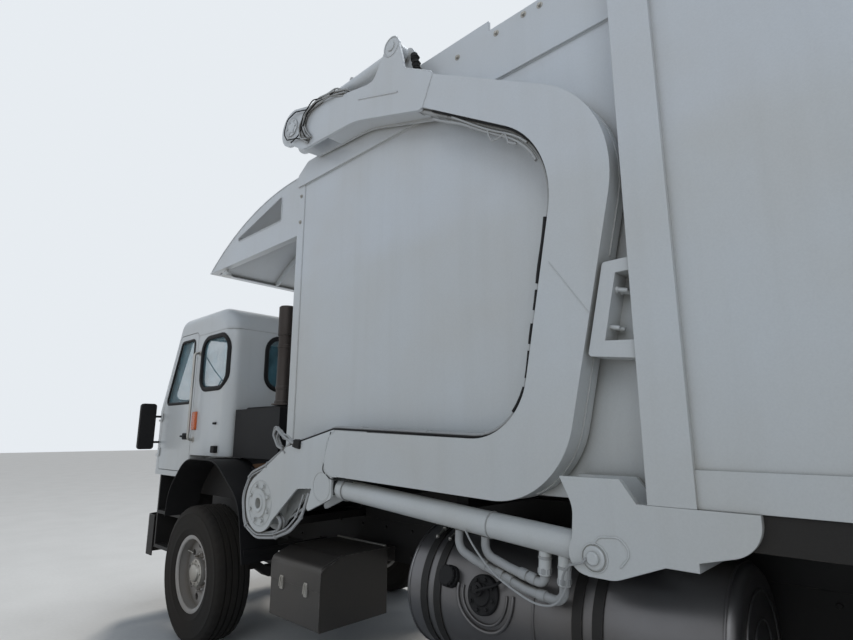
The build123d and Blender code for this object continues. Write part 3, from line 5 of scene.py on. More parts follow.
import bmesh
import bpy
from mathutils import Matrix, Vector


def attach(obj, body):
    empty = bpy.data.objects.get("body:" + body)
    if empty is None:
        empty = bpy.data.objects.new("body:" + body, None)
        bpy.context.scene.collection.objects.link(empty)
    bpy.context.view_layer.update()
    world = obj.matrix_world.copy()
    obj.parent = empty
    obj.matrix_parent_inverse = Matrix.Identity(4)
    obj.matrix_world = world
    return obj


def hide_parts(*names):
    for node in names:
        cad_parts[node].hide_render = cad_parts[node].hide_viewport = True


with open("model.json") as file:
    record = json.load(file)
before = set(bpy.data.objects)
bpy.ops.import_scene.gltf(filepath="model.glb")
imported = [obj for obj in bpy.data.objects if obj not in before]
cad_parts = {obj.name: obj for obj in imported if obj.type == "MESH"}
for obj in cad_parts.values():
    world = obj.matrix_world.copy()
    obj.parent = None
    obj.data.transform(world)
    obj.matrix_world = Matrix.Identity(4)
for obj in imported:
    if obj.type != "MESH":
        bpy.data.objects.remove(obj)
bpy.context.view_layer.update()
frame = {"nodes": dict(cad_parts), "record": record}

# Camera: place and direction recovered from the photograph's vanishing points
CAMERA_AT = Vector((-1.381, 3.27, 1.652))
CAMERA_UP = radians(11.92)
CAMERA_TURN = radians(-46.22)
CAMERA_LENS = 22.79

camera = bpy.data.objects.new("camera", bpy.data.cameras.new("camera"))
bpy.context.scene.collection.objects.link(camera)
bpy.context.scene.camera = camera
camera.location = CAMERA_AT
look = Vector((cos(CAMERA_UP) * cos(CAMERA_TURN), cos(CAMERA_UP) * sin(CAMERA_TURN), sin(CAMERA_UP)))
camera.rotation_euler = look.to_track_quat("-Z", "Y").to_euler()
camera.data.lens = CAMERA_LENS
camera.data.sensor_width = 36
camera.data.clip_end = 200
bpy.context.scene.view_settings.view_transform = "Standard"


# Materials, each kept in LOOKS under its name
LOOKS = {}


def new_material(name):
    """New look's Principled shader, its node list and its link list."""
    LOOKS[name] = material = bpy.data.materials.new(name)
    material.use_nodes = True
    nodes = material.node_tree.nodes
    return nodes["Principled BSDF"], nodes, material.node_tree.links


def noise_field(nodes, links, scale, detail=4.0, stretch=(1, 1, 1)):
    """Noise in object space, which is the row frame, so neighbouring parts don't repeat."""
    place = nodes.new("ShaderNodeTexCoord")
    mapping = nodes.new("ShaderNodeMapping")
    mapping.inputs["Scale"].default_value = stretch
    field = nodes.new("ShaderNodeTexNoise")
    field.inputs["Scale"].default_value = scale
    field.inputs["Detail"].default_value = detail
    links.new(place.outputs["Object"], mapping.inputs["Vector"])
    links.new(mapping.outputs["Vector"], field.inputs["Vector"])
    return field.outputs["Fac"]


def ramp(nodes, links, source, stops):
    """Colour ramp over a value: stops are (position, colour)."""
    node = nodes.new("ShaderNodeValToRGB")
    while len(node.color_ramp.elements) < len(stops):
        node.color_ramp.elements.new(0.5)
    for element, (position, colour) in zip(node.color_ramp.elements, stops):
        element.position = position
        element.color = (*colour, 1)
    links.new(source, node.inputs["Fac"])
    return node.outputs["Color"]


def grey(value):
    return (value, value, value)


def mid_tone(colour):
    """Tone half way from a colour to white."""
    return tuple((1 + c) / 2 for c in colour)


def mix(nodes, links, factor, first, second, blend="MIX"):
    """Blend of two colours by a factor, each a socket or a constant."""
    node = nodes.new("ShaderNodeMix")
    node.data_type = "RGBA"
    node.blend_type = blend
    for socket, value in ((node.inputs["Factor"], factor), (node.inputs[6], first), (node.inputs[7], second)):
        if isinstance(value, tuple):
            socket.default_value = (*value, 1)
        elif isinstance(value, float):
            socket.default_value = value
        else:
            links.new(value, socket)
    return node.outputs[2]


def surface(name, colour, dust, dust_share, rough, bump, grain, metallic=0.0, coat=0.0, edge=0.004, worn=None,
            stretch=(1, 1, 1), streaks=0.0, corner_shade=0.0, gloss=0.5, ground_bounce_tone=None):
    """Painted, moulded or metal surface: dust in patches, streaks, painted shade in corners, worn edges and fine
    relief.

    grain is the scale of the relief, worn the colour under rubbed edges, and the last argument a yellowish tone that
    fades upwards: painted light, as bounced up from the ground.
    """
    shader, nodes, links = new_material(name)
    shader.inputs["Metallic"].default_value = metallic
    shader.inputs["Specular IOR Level"].default_value = gloss
    shader.inputs["Coat Weight"].default_value = coat
    shader.inputs["Coat Roughness"].default_value = 0.12
    broad = noise_field(nodes, links, 1.7, 5.0)
    fine = noise_field(nodes, links, grain, 3.0, stretch)
    patches = ramp(nodes, links, broad, (((1 - dust_share) * 0.6, grey(0)), (1.0, grey(1))))
    result = mix(nodes, links, patches, colour, dust)
    result = mix(nodes, links, 0.5, result, ramp(nodes, links, fine, ((0.25, grey(0.9)), (0.75, grey(1.0)))),
                 "MULTIPLY")
    if streaks:
        runs = noise_field(nodes, links, 9.0, 6.0, (1, 1, 0.05))
        run_tone = (1 - streaks, 1 - 1.05 * streaks, 1 - 1.2 * streaks)
        shade = ramp(nodes, links, runs, ((0.5, grey(1)), (0.72, run_tone)))
        result = mix(nodes, links, 1.0, result, shade, "MULTIPLY")
    # Painted light: a yellowish tone low down, fading upwards, stands for light bounced up from the ground.
    if ground_bounce_tone:
        place = nodes.new("ShaderNodeTexCoord")
        height = nodes.new("ShaderNodeSeparateXYZ")
        links.new(place.outputs["Object"], height.inputs[0])
        level = nodes.new("ShaderNodeMath")
        level.operation = "MULTIPLY"
        level.inputs[1].default_value = 0.2
        links.new(height.outputs["Z"], level.inputs[0])
        shade = ramp(nodes, links, level.outputs["Value"], ((0.22, ground_bounce_tone), (0.55, mid_tone(ground_bounce_tone)), (0.58, grey(1))))
        result = mix(nodes, links, 1.0, result, shade, "MULTIPLY")
    # Painted shade: corners and creases found by ambient occlusion are darkened, with a brownish tint.
    if corner_shade:
        corner = nodes.new("ShaderNodeAmbientOcclusion")
        corner.samples = 4
        corner.inputs["Distance"].default_value = 0.07
        dark = (1 - corner_shade, 1 - 1.08 * corner_shade, 1 - 1.2 * corner_shade)
        shade = ramp(nodes, links, corner.outputs["AO"], ((0.35, dark), (0.85, grey(1))))
        result = mix(nodes, links, 1.0, result, shade, "MULTIPLY")
    rounded_edge = None
    if edge:
        rounded_edge = nodes.new("ShaderNodeBevel")
        rounded_edge.samples = 4
        rounded_edge.inputs["Radius"].default_value = edge
    if worn and edge:
        geometry = nodes.new("ShaderNodeNewGeometry")
        bend = nodes.new("ShaderNodeVectorMath")
        bend.operation = "DOT_PRODUCT"
        links.new(rounded_edge.outputs["Normal"], bend.inputs[0])
        links.new(geometry.outputs["Normal"], bend.inputs[1])
        rub = mix(nodes, links, 1.0, ramp(nodes, links, bend.outputs["Value"], ((0.9, grey(1)), (0.985, grey(0)))),
                  ramp(nodes, links, noise_field(nodes, links, 26.0, 5.0), ((0.42, grey(0)), (0.62, grey(1)))),
                  "MULTIPLY")
        result = mix(nodes, links, rub, result, worn)
    links.new(result, shader.inputs["Base Color"])
    links.new(ramp(nodes, links, broad, ((0.3, grey(rough)), (0.8, grey(min(1, rough + 0.18))))),
              shader.inputs["Roughness"])
    relief = nodes.new("ShaderNodeBump")
    relief.inputs["Strength"].default_value = bump
    relief.inputs["Distance"].default_value = 0.002
    links.new(fine, relief.inputs["Height"])
    if edge:
        links.new(rounded_edge.outputs["Normal"], relief.inputs["Normal"])
    links.new(relief.outputs["Normal"], shader.inputs["Normal"])


def tinted_glass(name, colour, alpha):
    """Clear window glass with a tint and some dirt."""
    shader, nodes, links = new_material(name)
    shader.inputs["Roughness"].default_value = 0.04
    shader.inputs["Specular IOR Level"].default_value = 0.6
    shader.inputs["Coat Weight"].default_value = 0.2
    dirt = noise_field(nodes, links, 9.0, 6.0)
    links.new(ramp(nodes, links, dirt, ((0.35, colour), (0.85, tuple(3 * c for c in colour)))),
              shader.inputs["Base Color"])
    links.new(ramp(nodes, links, dirt, ((0.35, grey(alpha)), (0.85, grey(min(1, alpha + 0.15))))),
              shader.inputs["Alpha"])
    relief = nodes.new("ShaderNodeBump")
    relief.inputs["Strength"].default_value = 0.02
    relief.inputs["Distance"].default_value = 0.001
    links.new(dirt, relief.inputs["Height"])
    links.new(relief.outputs["Normal"], shader.inputs["Normal"])


# Finishes: colour, dust, share of dust, roughness, strength and scale of the relief
# White paint, rims, tank and hoses are darkened in corners and creases as painted shade; the white paint also gets a
# painted yellowish light low down.
surface("white_paint", (0.7, 0.735, 0.775), (0.66, 0.655, 0.64), 0.6, 0.3, 0.1, 140, coat=0.25, streaks=0.03,
        corner_shade=0.34, ground_bounce_tone=(0.93, 0.915, 0.87))
surface("chassis_black", (0.01, 0.01, 0.011), (0.034, 0.029, 0.024), 0.6, 0.5, 0.25, 90, worn=(0.1, 0.085, 0.07),
        gloss=0.3)
surface("black_plastic", (0.008, 0.008, 0.009), (0.022, 0.02, 0.019), 0.5, 0.58, 0.35, 300, gloss=0.25)
surface("tyre_rubber", (0.012, 0.012, 0.012), (0.045, 0.036, 0.028), 0.75, 0.82, 0.4, 220, edge=0, gloss=0.25)
surface("rim_paint", (0.46, 0.45, 0.44), (0.24, 0.19, 0.14), 0.6, 0.42, 0.2, 120, metallic=0.2, corner_shade=0.5)
surface("interior", (0.06, 0.06, 0.065), (0.12, 0.11, 0.1), 0.4, 0.7, 0.5, 260)
surface("tank_aluminium", (0.19, 0.19, 0.2), (0.085, 0.07, 0.055), 0.75, 0.3, 0.12, 60, metallic=0.75,
        stretch=(1, 1, 14), corner_shade=0.4)
surface("lamp_lens", (0.7, 0.7, 0.68), (0.5, 0.5, 0.48), 0.3, 0.1, 0.1, 300, coat=0.5)
surface("rod_chrome", (0.72, 0.73, 0.74), (0.5, 0.5, 0.5), 0.3, 0.08, 0.03, 90, metallic=1.0)
surface("exhaust_steel", (0.06, 0.05, 0.045), (0.035, 0.024, 0.018), 0.6, 0.5, 0.3, 70, metallic=0.5,
        worn=(0.3, 0.28, 0.26))
surface("hose_paint", (0.6, 0.61, 0.61), (0.22, 0.21, 0.2), 0.75, 0.5, 0.5, 420, edge=0, corner_shade=0.5)
tinted_glass("tinted_glass", (0.07, 0.19, 0.24), 0.2)
surface("amber", (0.75, 0.13, 0.015), (0.45, 0.12, 0.03), 0.4, 0.18, 0.3, 200, coat=0.4)
surface("red", (0.42, 0.012, 0.01), (0.22, 0.03, 0.02), 0.4, 0.18, 0.3, 200, coat=0.4)
surface("zinc", (0.5, 0.5, 0.48), (0.26, 0.21, 0.15), 0.6, 0.35, 0.3, 260, metallic=0.8)
surface("rust", (0.15, 0.075, 0.035), (0.24, 0.15, 0.08), 0.6, 0.8, 0.6, 60)
# Tool box: weathered metal whose colour is darkened as painted shade for the shadow it sits in under the body.
surface("toolbox_shaded_grey", (0.062, 0.057, 0.053), (0.095, 0.083, 0.071), 0.6, 0.4, 0.25, 80, metallic=0.3,
        worn=(0.28, 0.26, 0.24))
# Parts given a darker finish than their slot's: painted shade for the shadow they lie in under the body.
SHADED_LOOKS = {"tool_box": "toolbox_shaded_grey", "pivot_bearings": "chassis_black"}
for part in frame["record"]["subparts"]:
    node = frame["nodes"][part["node"]]
    node.data.materials.clear()
    node.data.materials.append(LOOKS[SHADED_LOOKS.get(part["node"], part["material_slot"])])


# Shapes
X, Y, Z = Vector((1, 0, 0)), Vector((0, 1, 0)), Vector((0, 0, 1))
SIDES = (1, -1)
HANDS = ((1, "left"), (-1, "right"))


def rounded(corners, closed=True, steps=6):
    """Points of an outline or open run; each corner is its two coordinates and its bend radius."""
    points = []
    last = len(corners) - 1
    for i, (u, v, radius) in enumerate(corners):
        here = Vector((u, v))
        if not radius or (not closed and i in (0, last)):
            points.append(here)
            continue
        back = (Vector(corners[i - 1][:2]) - here).normalized()
        ahead = (Vector(corners[(i + 1) % len(corners)][:2]) - here).normalized()
        half = back.angle(ahead) / 2
        centre = here + (back + ahead).normalized() * (radius / sin(half))
        first, second = here + back * (radius / tan(half)) - centre, here + ahead * (radius / tan(half)) - centre
        total = first.angle(second)
        for k in range(steps + 1):
            share = k / steps
            points.append(centre + (first * sin((1 - share) * total) + second * sin(share * total)) / sin(total))
    return points


def panel(left, right, low, high, radius):
    """Outline of a rectangle, all its corners with one bend radius."""
    return rounded(((left, low, radius), (right, low, radius), (right, high, radius), (left, high, radius)))


def around(centre, first, second, radius, count, phase=0.0):
    """Points on a circle, from the first direction towards the second; phase is in steps."""
    turns = [tau * (k + phase) / count for k in range(count)]
    return [Vector(centre) + first * (radius * cos(t)) + second * (radius * sin(t)) for t in turns]


def spread(points, gap, closed=False):
    """The same line with no two neighbours further apart than a gap."""
    ends = points[1:] + points[:1] if closed else points[1:]
    result = []
    for start, end in zip(points, ends):
        count = max(1, int((end - start).length / gap))
        result += [start.lerp(end, k / count) for k in range(count)]
    return result if closed else result + [points[-1]]


def smooth(points, steps):
    """Curve through points, with some steps from each to the next."""
    result = []
    for i in range(len(points) - 1):
        a, b, c, d = points[max(i - 1, 0)], points[i], points[i + 1], points[min(i + 2, len(points) - 1)]
        for k in range(steps):
            t = k / steps
            result.append(0.5 * (2 * b + (c - a) * t + (2 * a - 5 * b + 4 * c - d) * t ** 2
                                 + (3 * b - a - 3 * c + d) * t ** 3))
    return result + [points[-1]]


def skin(bm, rings, round_path=False, loops=True):
    """Faces between neighbouring rings of vertices; an open run of rings gets a cap at each end."""
    count = len(rings[0])
    for first, second in zip(rings, rings[1:] + rings[:1] if round_path else rings[1:]):
        for k in range(count if loops else count - 1):
            bm.faces.new((first[k], first[(k + 1) % count], second[(k + 1) % count], second[k]))
    if not round_path:
        bm.faces.new(rings[0])
        bm.faces.new(rings[-1])


def band(bm, points, normals, section, closed=True):
    """Strip along points; each section corner is its distance to the side and its height on the normal."""
    rings = []
    for i, (point, normal) in enumerate(zip(points, normals)):
        before = points[i - 1] if closed or i else point
        after = points[(i + 1) % len(points)] if closed or i < len(points) - 1 else point
        across = (after - before).normalized().cross(normal).normalized()
        rings.append([bm.verts.new(point + across * a + normal * b) for a, b in section])
    skin(bm, rings, closed)


def pipe(bm, points, radius, sides=10, closed=False, lumps=0.0):
    """Round line through points; lumps makes its radius uneven, as on a weld."""
    normal = None
    rings = []
    for i, point in enumerate(points):
        before = points[i - 1] if closed or i else point
        after = points[(i + 1) % len(points)] if closed or i < len(points) - 1 else point
        along = (after - before).normalized()
        normal = along.orthogonal() if normal is None else normal - along * normal.dot(along)
        normal.normalize()
        across = along.cross(normal)
        size = radius * (1 + lumps * sin(2.4 * i) * cos(1.1 * i))
        turns = [tau * k / sides for k in range(sides)]
        rings.append([bm.verts.new(point + normal * size * cos(t) + across * size * sin(t)) for t in turns])
    skin(bm, rings, closed)


def turned(bm, profile, centre, axis, steps=32, closed=False, cut=None):
    """Round body; each profile corner is its radius and its place along the axis."""
    axis = Vector(axis).normalized()
    first = axis.orthogonal().normalized()
    second = axis.cross(first)
    rings = []
    for k in range(steps):
        way = first * cos(tau * k / steps) + second * sin(tau * k / steps)
        rings.append([bm.verts.new(Vector(centre) + way * (r - (cut(k, r, a) if cut else 0)) + axis * a)
                      for r, a in profile])
    skin(bm, rings, True, closed)


def bolt(bm, at, axis, across, washer=True):
    """Hexagon head with a small chamfer on a washer."""
    half = across / 2 / cos(pi / 6)
    rise = 0.12 * across if washer else 0
    if washer:
        turned(bm, ((0, 0), (across, 0), (across, rise), (0, rise)), at, axis, 16)
    turned(bm, ((0, rise), (half, rise), (half, rise + 0.5 * across), (0.86 * half, rise + 0.62 * across),
                (0, rise + 0.62 * across)), at, axis, 6)


def slab(bm, outline, place, low, high, bevel=0.002):
    """Flat piece over an outline between two depths, with a bevel round its upper face."""
    middle = sum(outline, Vector((0, 0))) / len(outline)
    rings = []
    for depth, gap in ((low, 0), (high - bevel, 0), (high, bevel)):
        rings.append([bm.verts.new(place(*(p + (middle - p).normalized() * gap), depth)) for p in outline])
    skin(bm, rings)


def lay(name, bm, slot, body="chassis", look=None, sharp=38):
    """Scene object from a mesh under construction, riding on a body with a slot's finish."""
    bmesh.ops.remove_doubles(bm, verts=bm.verts, dist=1e-5)
    bmesh.ops.recalc_face_normals(bm, faces=bm.faces)
    mesh = bpy.data.meshes.new(name)
    bm.to_mesh(mesh)
    bm.free()
    mesh.polygons.foreach_set("use_smooth", [True] * len(mesh.polygons))
    mesh.set_sharp_from_angle(angle=radians(sharp))
    obj = bpy.data.objects.new(name, mesh)
    bpy.context.scene.collection.objects.link(obj)
    obj.data.materials.append(LOOKS[look or slot])
    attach(obj, body)
    return obj


def side(hand):
    """Placer on an upright side plane: x, z and distance from the middle to the left or the right."""
    return lambda x, z, y: Vector((x, hand * y, z))


def on_side(points, y, hand):
    """Flat points set on an upright side plane."""
    return [Vector((p.x, hand * y, p.y)) for p in points]


# Tyres: half of the tread and wall as radius and distance from the tyre's middle
TYRE_HALF = (
    (0.29, 0.112), (0.3, 0.128), (0.318, 0.136), (0.34, 0.14), (0.344, 0.1424), (0.349, 0.1426),
    (0.353, 0.1412), (0.385, 0.1447), (0.425, 0.145), (0.462, 0.1425), (0.466, 0.144), (0.471, 0.1436),
    (0.474, 0.1408), (0.49, 0.1365), (0.507, 0.131), (0.516, 0.1265), (0.5215, 0.1205), (0.5265, 0.111),
    (0.529, 0.099), (0.5292, 0.083), (0.516, 0.081), (0.516, 0.069), (0.5296, 0.067), (0.5299, 0.035),
    (0.516, 0.033), (0.516, 0.021), (0.53, 0.019), (0.53, 0.0))
TYRE = TYRE_HALF + tuple((r, -a) for r, a in TYRE_HALF[-2::-1])
RIM_LIP = ((0.262, 0.108), (0.268, 0.119), (0.284, 0.1245), (0.3, 0.1225), (0.305, 0.116), (0.3, 0.11),
           (0.284, 0.113), (0.27, 0.106))
# Wheels: name, axle x, tyre middles, disc face, hub face, hub studs' circle
WHEELS = (("front", 3.32, (1.045,), 1.071, 1.12, 0.088),
          ("drive_front", -1.48, (0.75, 1.085), 0.9295, 1.0675, 0.086),
          ("drive_rear", -2.82, (0.75, 1.085), 0.9295, 1.0675, 0.086))
AXLE_Z = 0.53
NUT_CIRCLE = 0.1425
STUD = ((0, 0), (0.01, 0), (0.01, 0.034), (0.007, 0.038), (0, 0.038))
HUB = ((0.104, 0), (0.106, 0.006), (0.098, 0.01), (0.072, 0.011), (0.066, 0.026), (0.052, 0.034), (0, 0.036))


def shoulder_cut(k, r, a):
    """Depth of the notches round the tread's shoulder."""
    return 0.009 if k % 3 == 0 and r > 0.51 and abs(a) > 0.09 else 0


for name, x, middles, disc, hub, circle in WHEELS:
    for hand, label in HANDS:
        bm = bmesh.new()
        for middle in middles:
            turned(bm, TYRE, (x, hand * middle, AXLE_Z), Y, 120, True, shoulder_cut)
        tyre = lay(f"tread_{name}_{label}", bm, "tyre_rubber", f"wheel_{name}_{label}", sharp=30)
        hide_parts(f"tyre_{name}_{label}")
        bm = bmesh.new()
        for middle in middles:
            for way in SIDES:
                turned(bm, RIM_LIP, (x, hand * middle, AXLE_Z), Y * way, 72, True)
        for at in around((x, hand * disc, AXLE_Z), X, Z, NUT_CIRCLE, 10, 0.5):
            bolt(bm, at, Y * hand, 0.03)
            turned(bm, STUD, at, Y * hand, 10)
        lay(f"rim_dress_{name}_{label}", bm, "rim_paint", f"wheel_{name}_{label}")
        bm = bmesh.new()
        at = Vector((x, hand * hub, AXLE_Z))
        turned(bm, HUB, at, Y * hand, 48)
        for stud in around(at + Y * hand * 0.01, X, Z, circle, 8):
            bolt(bm, stud, Y * hand, 0.015, False)
        depth = hub - disc
        valve = [at + Vector((0.19, -hand * depth, 0.12)), at + Vector((0.225, hand * (0.03 - depth), 0.14))]
        pipe(bm, valve, 0.005, 8)
        lay(f"hub_dress_{name}_{label}", bm, "rim_paint", f"wheel_{name}_{label}", "zinc")

# Window rubbers, each laid over a pane's edge
RUBBER = ((-0.021, -0.006), (-0.021, 0.004), (-0.015, 0.009), (-0.004, 0.0105), (0.004, 0.0105), (0.015, 0.009),
          (0.021, 0.004), (0.021, -0.006))
THIN_RUBBER = tuple((0.62 * a, 0.8 * b) for a, b in RUBBER)
CAB_Y, CAB_BACK, EDGE_R = 1.03, 3.19, 0.11
ROOF_BEND, ROOF_R = 2.51, 0.32
CAB_FRONT, SCREEN_FOOT = 4.745, 1.9
SCREEN_WAY = Vector((0.93, 0, 0.415))


def screen_x(z):
    """Front of the cab at a height."""
    return CAB_FRONT - max(0, z - SCREEN_FOOT) * SCREEN_WAY.z / SCREEN_WAY.x


def cab_side(x, z, hand):
    """Point and normal on the cab's side, round its rear corner."""
    reach = max(0.0, CAB_BACK + EDGE_R - x)
    depth = sqrt(EDGE_R ** 2 - reach ** 2)
    return Vector((x, hand * (CAB_Y - EDGE_R + depth), z)), Vector((-reach, hand * depth, 0)).normalized()


def cab_rear(y, z):
    """Point and normal on the cab's back, round its upper edge."""
    rise = max(0.0, z - ROOF_BEND)
    depth = sqrt(ROOF_R ** 2 - rise ** 2)
    return Vector((CAB_BACK + ROOF_R - depth, y, z)), Vector((-depth, 0, rise)).normalized()


def on_screen(y, z):
    """Point and normal on the windscreen's plane."""
    return Vector((screen_x(z), y, z)), SCREEN_WAY.normalized()


def rubber(bm, ring, form, gap, section):
    """Window rubber round a pane; form gives the point and the normal for each point of its outline."""
    pairs = [form(p) for p in spread(ring, gap, True)]
    band(bm, [p for p, n in pairs], [n for p, n in pairs], section)


QUARTER = panel(3.245, 3.76, 2.06, 2.55, 0.13)
REAR = panel(0.22, 0.67, 2.06, 2.55, 0.13)
SCREEN = rounded(((0.03, 2.0, 0.04), (0.905, 2.0, 0.09), (0.875, 2.68, 0.09), (0.03, 2.68, 0.04)))
DOOR_PANE = rounded(((3.945, 1.95, 0.05), (screen_x(1.95) - 0.205, 1.95, 0.04),
                     (screen_x(2.57) - 0.205, 2.57, 0.05), (3.945, 2.57, 0.05)))
bm = bmesh.new()
for hand in SIDES:
    rubber(bm, QUARTER, lambda p: cab_side(p.x, p.y, hand), 0.04, RUBBER)
    rubber(bm, REAR, lambda p: cab_rear(hand * p.x, p.y), 0.04, RUBBER)
    rubber(bm, SCREEN, lambda p: on_screen(hand * p.x, p.y), 0.04, RUBBER)
lay("window_rubbers", bm, "black_plastic")
DOOR_EDGE = rounded(((3.87, 1.3, 0.04), (4.6, 1.3, 0.04), (4.6, 1.87, 0.06), (screen_x(2.64) - 0.125, 2.64, 0.06),
                     (3.87, 2.64, 0.06)))
for hand, label in HANDS:
    bm = bmesh.new()
    rubber(bm, DOOR_PANE, lambda p: cab_side(p.x, p.y, hand), 0.06, THIN_RUBBER)
    pipe(bm, on_side(spread(DOOR_EDGE, 0.08, True), CAB_Y - 0.022, hand), 0.004, 6, True)
    slab(bm, panel(3.935, 4.06, 1.6, 1.66, 0.012), side(hand), CAB_Y - 0.004, CAB_Y + 0.006)
    pull = [Vector((x, hand * y, 1.63)) for x, y in ((3.95, 1.034), (3.955, 1.052), (3.975, 1.06), (4.04, 1.058))]
    pipe(bm, pull, 0.009, 8)
    lay(f"door_dress_{label}", bm, "black_plastic", f"door_{label}")

# Cab trim: roof seam, grab bars, wipers, latch, stop and amber lamps
bm = bmesh.new()
seam = [cab_side(x, 2.6, 1)[0] for x in (3.86, 3.6, 3.4, 3.32, 3.28, 3.25, 3.22, 3.205, 3.196)]
seam += [cab_rear(y, 2.6)[0] for y in (0.92, 0.6, 0.3, 0)]
for hand in SIDES:
    pipe(bm, [Vector((p.x, hand * p.y, p.z)) for p in seam], 0.0045, 6)
lay("cab_seams", bm, "white_paint")
bm = bmesh.new()
BAR_X = 3.815
bar = rounded(((1.6, 1.028, 0), (1.6, 1.082, 0.03), (2.42, 1.082, 0.03), (2.42, 1.028, 0)), False)
for hand in SIDES:
    pipe(bm, [Vector((BAR_X, hand * p.y, p.x)) for p in bar], 0.013, 12)
    for z in (1.6, 2.42):
        turned(bm, ((0, 0), (0.026, 0), (0.026, 0.006), (0, 0.006)), (BAR_X, hand * 1.028, z), Y * hand, 16)
lay("grab_bars", bm, "rod_chrome", look="zinc")
bm = bmesh.new()
for hand in SIDES:
    foot, out = on_screen(hand * 0.5, 1.97)
    blade = [on_screen(hand * y, z)[0] + out * 0.022
             for y, z in ((0.14, 2.06), (0.3, 2.16), (0.52, 2.34), (0.66, 2.48))]
    pipe(bm, [foot, foot + out * 0.03, (blade[1] + blade[2]) / 2 + out * 0.012], 0.007, 8)
    pipe(bm, blade, 0.006, 6)
    for x, low, high, size, depth in ((3.336, 1.49, 1.55, 0.035, 0.035), (3.374, 1.735, 1.755, 0.018, 0.024)):
        slab(bm, panel(x - size, x + size, low, high, 0.006), side(hand), CAB_Y - 0.006, CAB_Y + depth, 0.005)
lay("cab_black_trim", bm, "black_plastic")
bm = bmesh.new()
for hand in SIDES:
    slab(bm, panel(3.765, 3.845, 1.69, 1.86, 0.012), side(hand), CAB_Y - 0.004, CAB_Y + 0.02, 0.006)
    for k in range(7):
        z = 1.712 + 0.021 * k
        pipe(bm, [Vector((3.775, hand * (CAB_Y + 0.019), z)), Vector((3.835, hand * (CAB_Y + 0.019), z))], 0.003, 6)
for y in (-0.75, -0.28, 0, 0.28, 0.75):
    turned(bm, ((0, 0), (0.045, 0), (0.045, 0.012), (0.034, 0.034), (0.018, 0.042), (0, 0.044)), (4.2, y, 2.826),
           (0.12, 0, 1), 24)
for hand in SIDES:
    for x in (-1.2, -2.6, -3.9):
        turned(bm, ((0, 0), (0.034, 0), (0.034, 0.006), (0.02, 0.014), (0, 0.016)), (x, hand * 1.226, 1.465),
               Y * hand, 20)
lay("amber_lamps", bm, "lamp_lens", look="amber")

# Arms: welds, bolts, hose clamps, cables, black lines of painted shade in gaps, and loose hoses. Flat places are
# measured from the arm's pivot
PIVOT = (2.2, 1.18)
FORK_BASE = (-1.31, 2.918)
PIVOT_RING = ((-0.838, 0.491, 0), (-0.765, 0.44, 0.06), (-0.725, 0.227, 0.09), (-0.872, 0.221, 0))
FORK_EDGE = ((-1.583, 2.353, 0), (-1.672, 2.552, 0.03), (-1.43, 2.7, 0.06), (-1.377, 2.905, 0))
# The hose line starts at the hub's rim, goes round the hub and follows the C's inner edge to the knuckle
LINE = ((-0.1415, -0.0515, 0), (-0.25, -0.091, 0.035), (-0.222, -0.167, 0.06), (0.065, -0.218, 0.2),
        (0.214, -0.077, 0.2), (0.189, 0.127, 0.2), (-0.2976, 0.3974, 0.13), (-0.8186, 0.5095, 0.07),
        (-2.1912, 0.4529, 0.307), (-2.4421, 1.799, 0.487), (-1.555, 2.364, 0))


def arm_point(u, v, y, hand):
    return Vector((PIVOT[0] + u, hand * y, PIVOT[1] + v))


def arm_run(points, y, hand):
    return [arm_point(p.x, p.y, y, hand) for p in points]


line = spread(rounded(LINE, False, 10), 0.03)
travel = [0.0]
for start, end in zip(line, line[1:]):
    travel.append(travel[-1] + (end - start).length)
BACK_EDGE = ((-1.63, 2.563, 0), (-2.774, 1.891, 0.6), (-2.37, 0.165, 0.42), (-0.87, 0.221, 0))
back_edge = spread(rounded(BACK_EDGE, False, 12), 0.03)


def off_line(start, end, swing, y, hand):
    """Points beside the hose line between two lengths along it, each pushed inwards by swing(length)."""
    result = []
    for i in range(1, len(line) - 1):
        if start < travel[i] < end:
            step = (line[i + 1] - line[i - 1]).normalized()
            push = swing(travel[i])
            result.append(arm_point(line[i].x + step.y * push, line[i].y - step.x * push, y, hand))
    return result


# Runs and loops on each arm as the photograph shows them; lengths are along the hose line
LOOM_RUNS = ((3.26, 3.44), (3.46, 3.6), (3.615, 3.74), (3.755, 3.87), (3.885, 4.23))
TOP_RUN = (4.5, 5.42)
BOW = 0.16
PIVOT_LOOP = ((-0.35, 0.415, 0), (-0.235, 0.358, 0.2), (-0.05, 0.262, 0.25), (0.165, 0.195, 0.12),
              (0.262, 0.03, 0.14), (0.215, -0.165, 0.12), (0.04, -0.232, 0.2), (-0.2, -0.205, 0.4),
              (-0.38, -0.145, 0.25), (-0.5, -0.05, 0.15), (-0.576, 0.105, 0))
PLUG_RUN = ((-0.405, 0.405, 0), (-0.34, 0.44, 0.05), (-0.245, 0.462, 0.03), (-0.18, 0.52, 0.022),
            (-0.15, 0.462, 0.022), (-0.205, 0.395, 0.04), (-0.27, 0.368, 0))
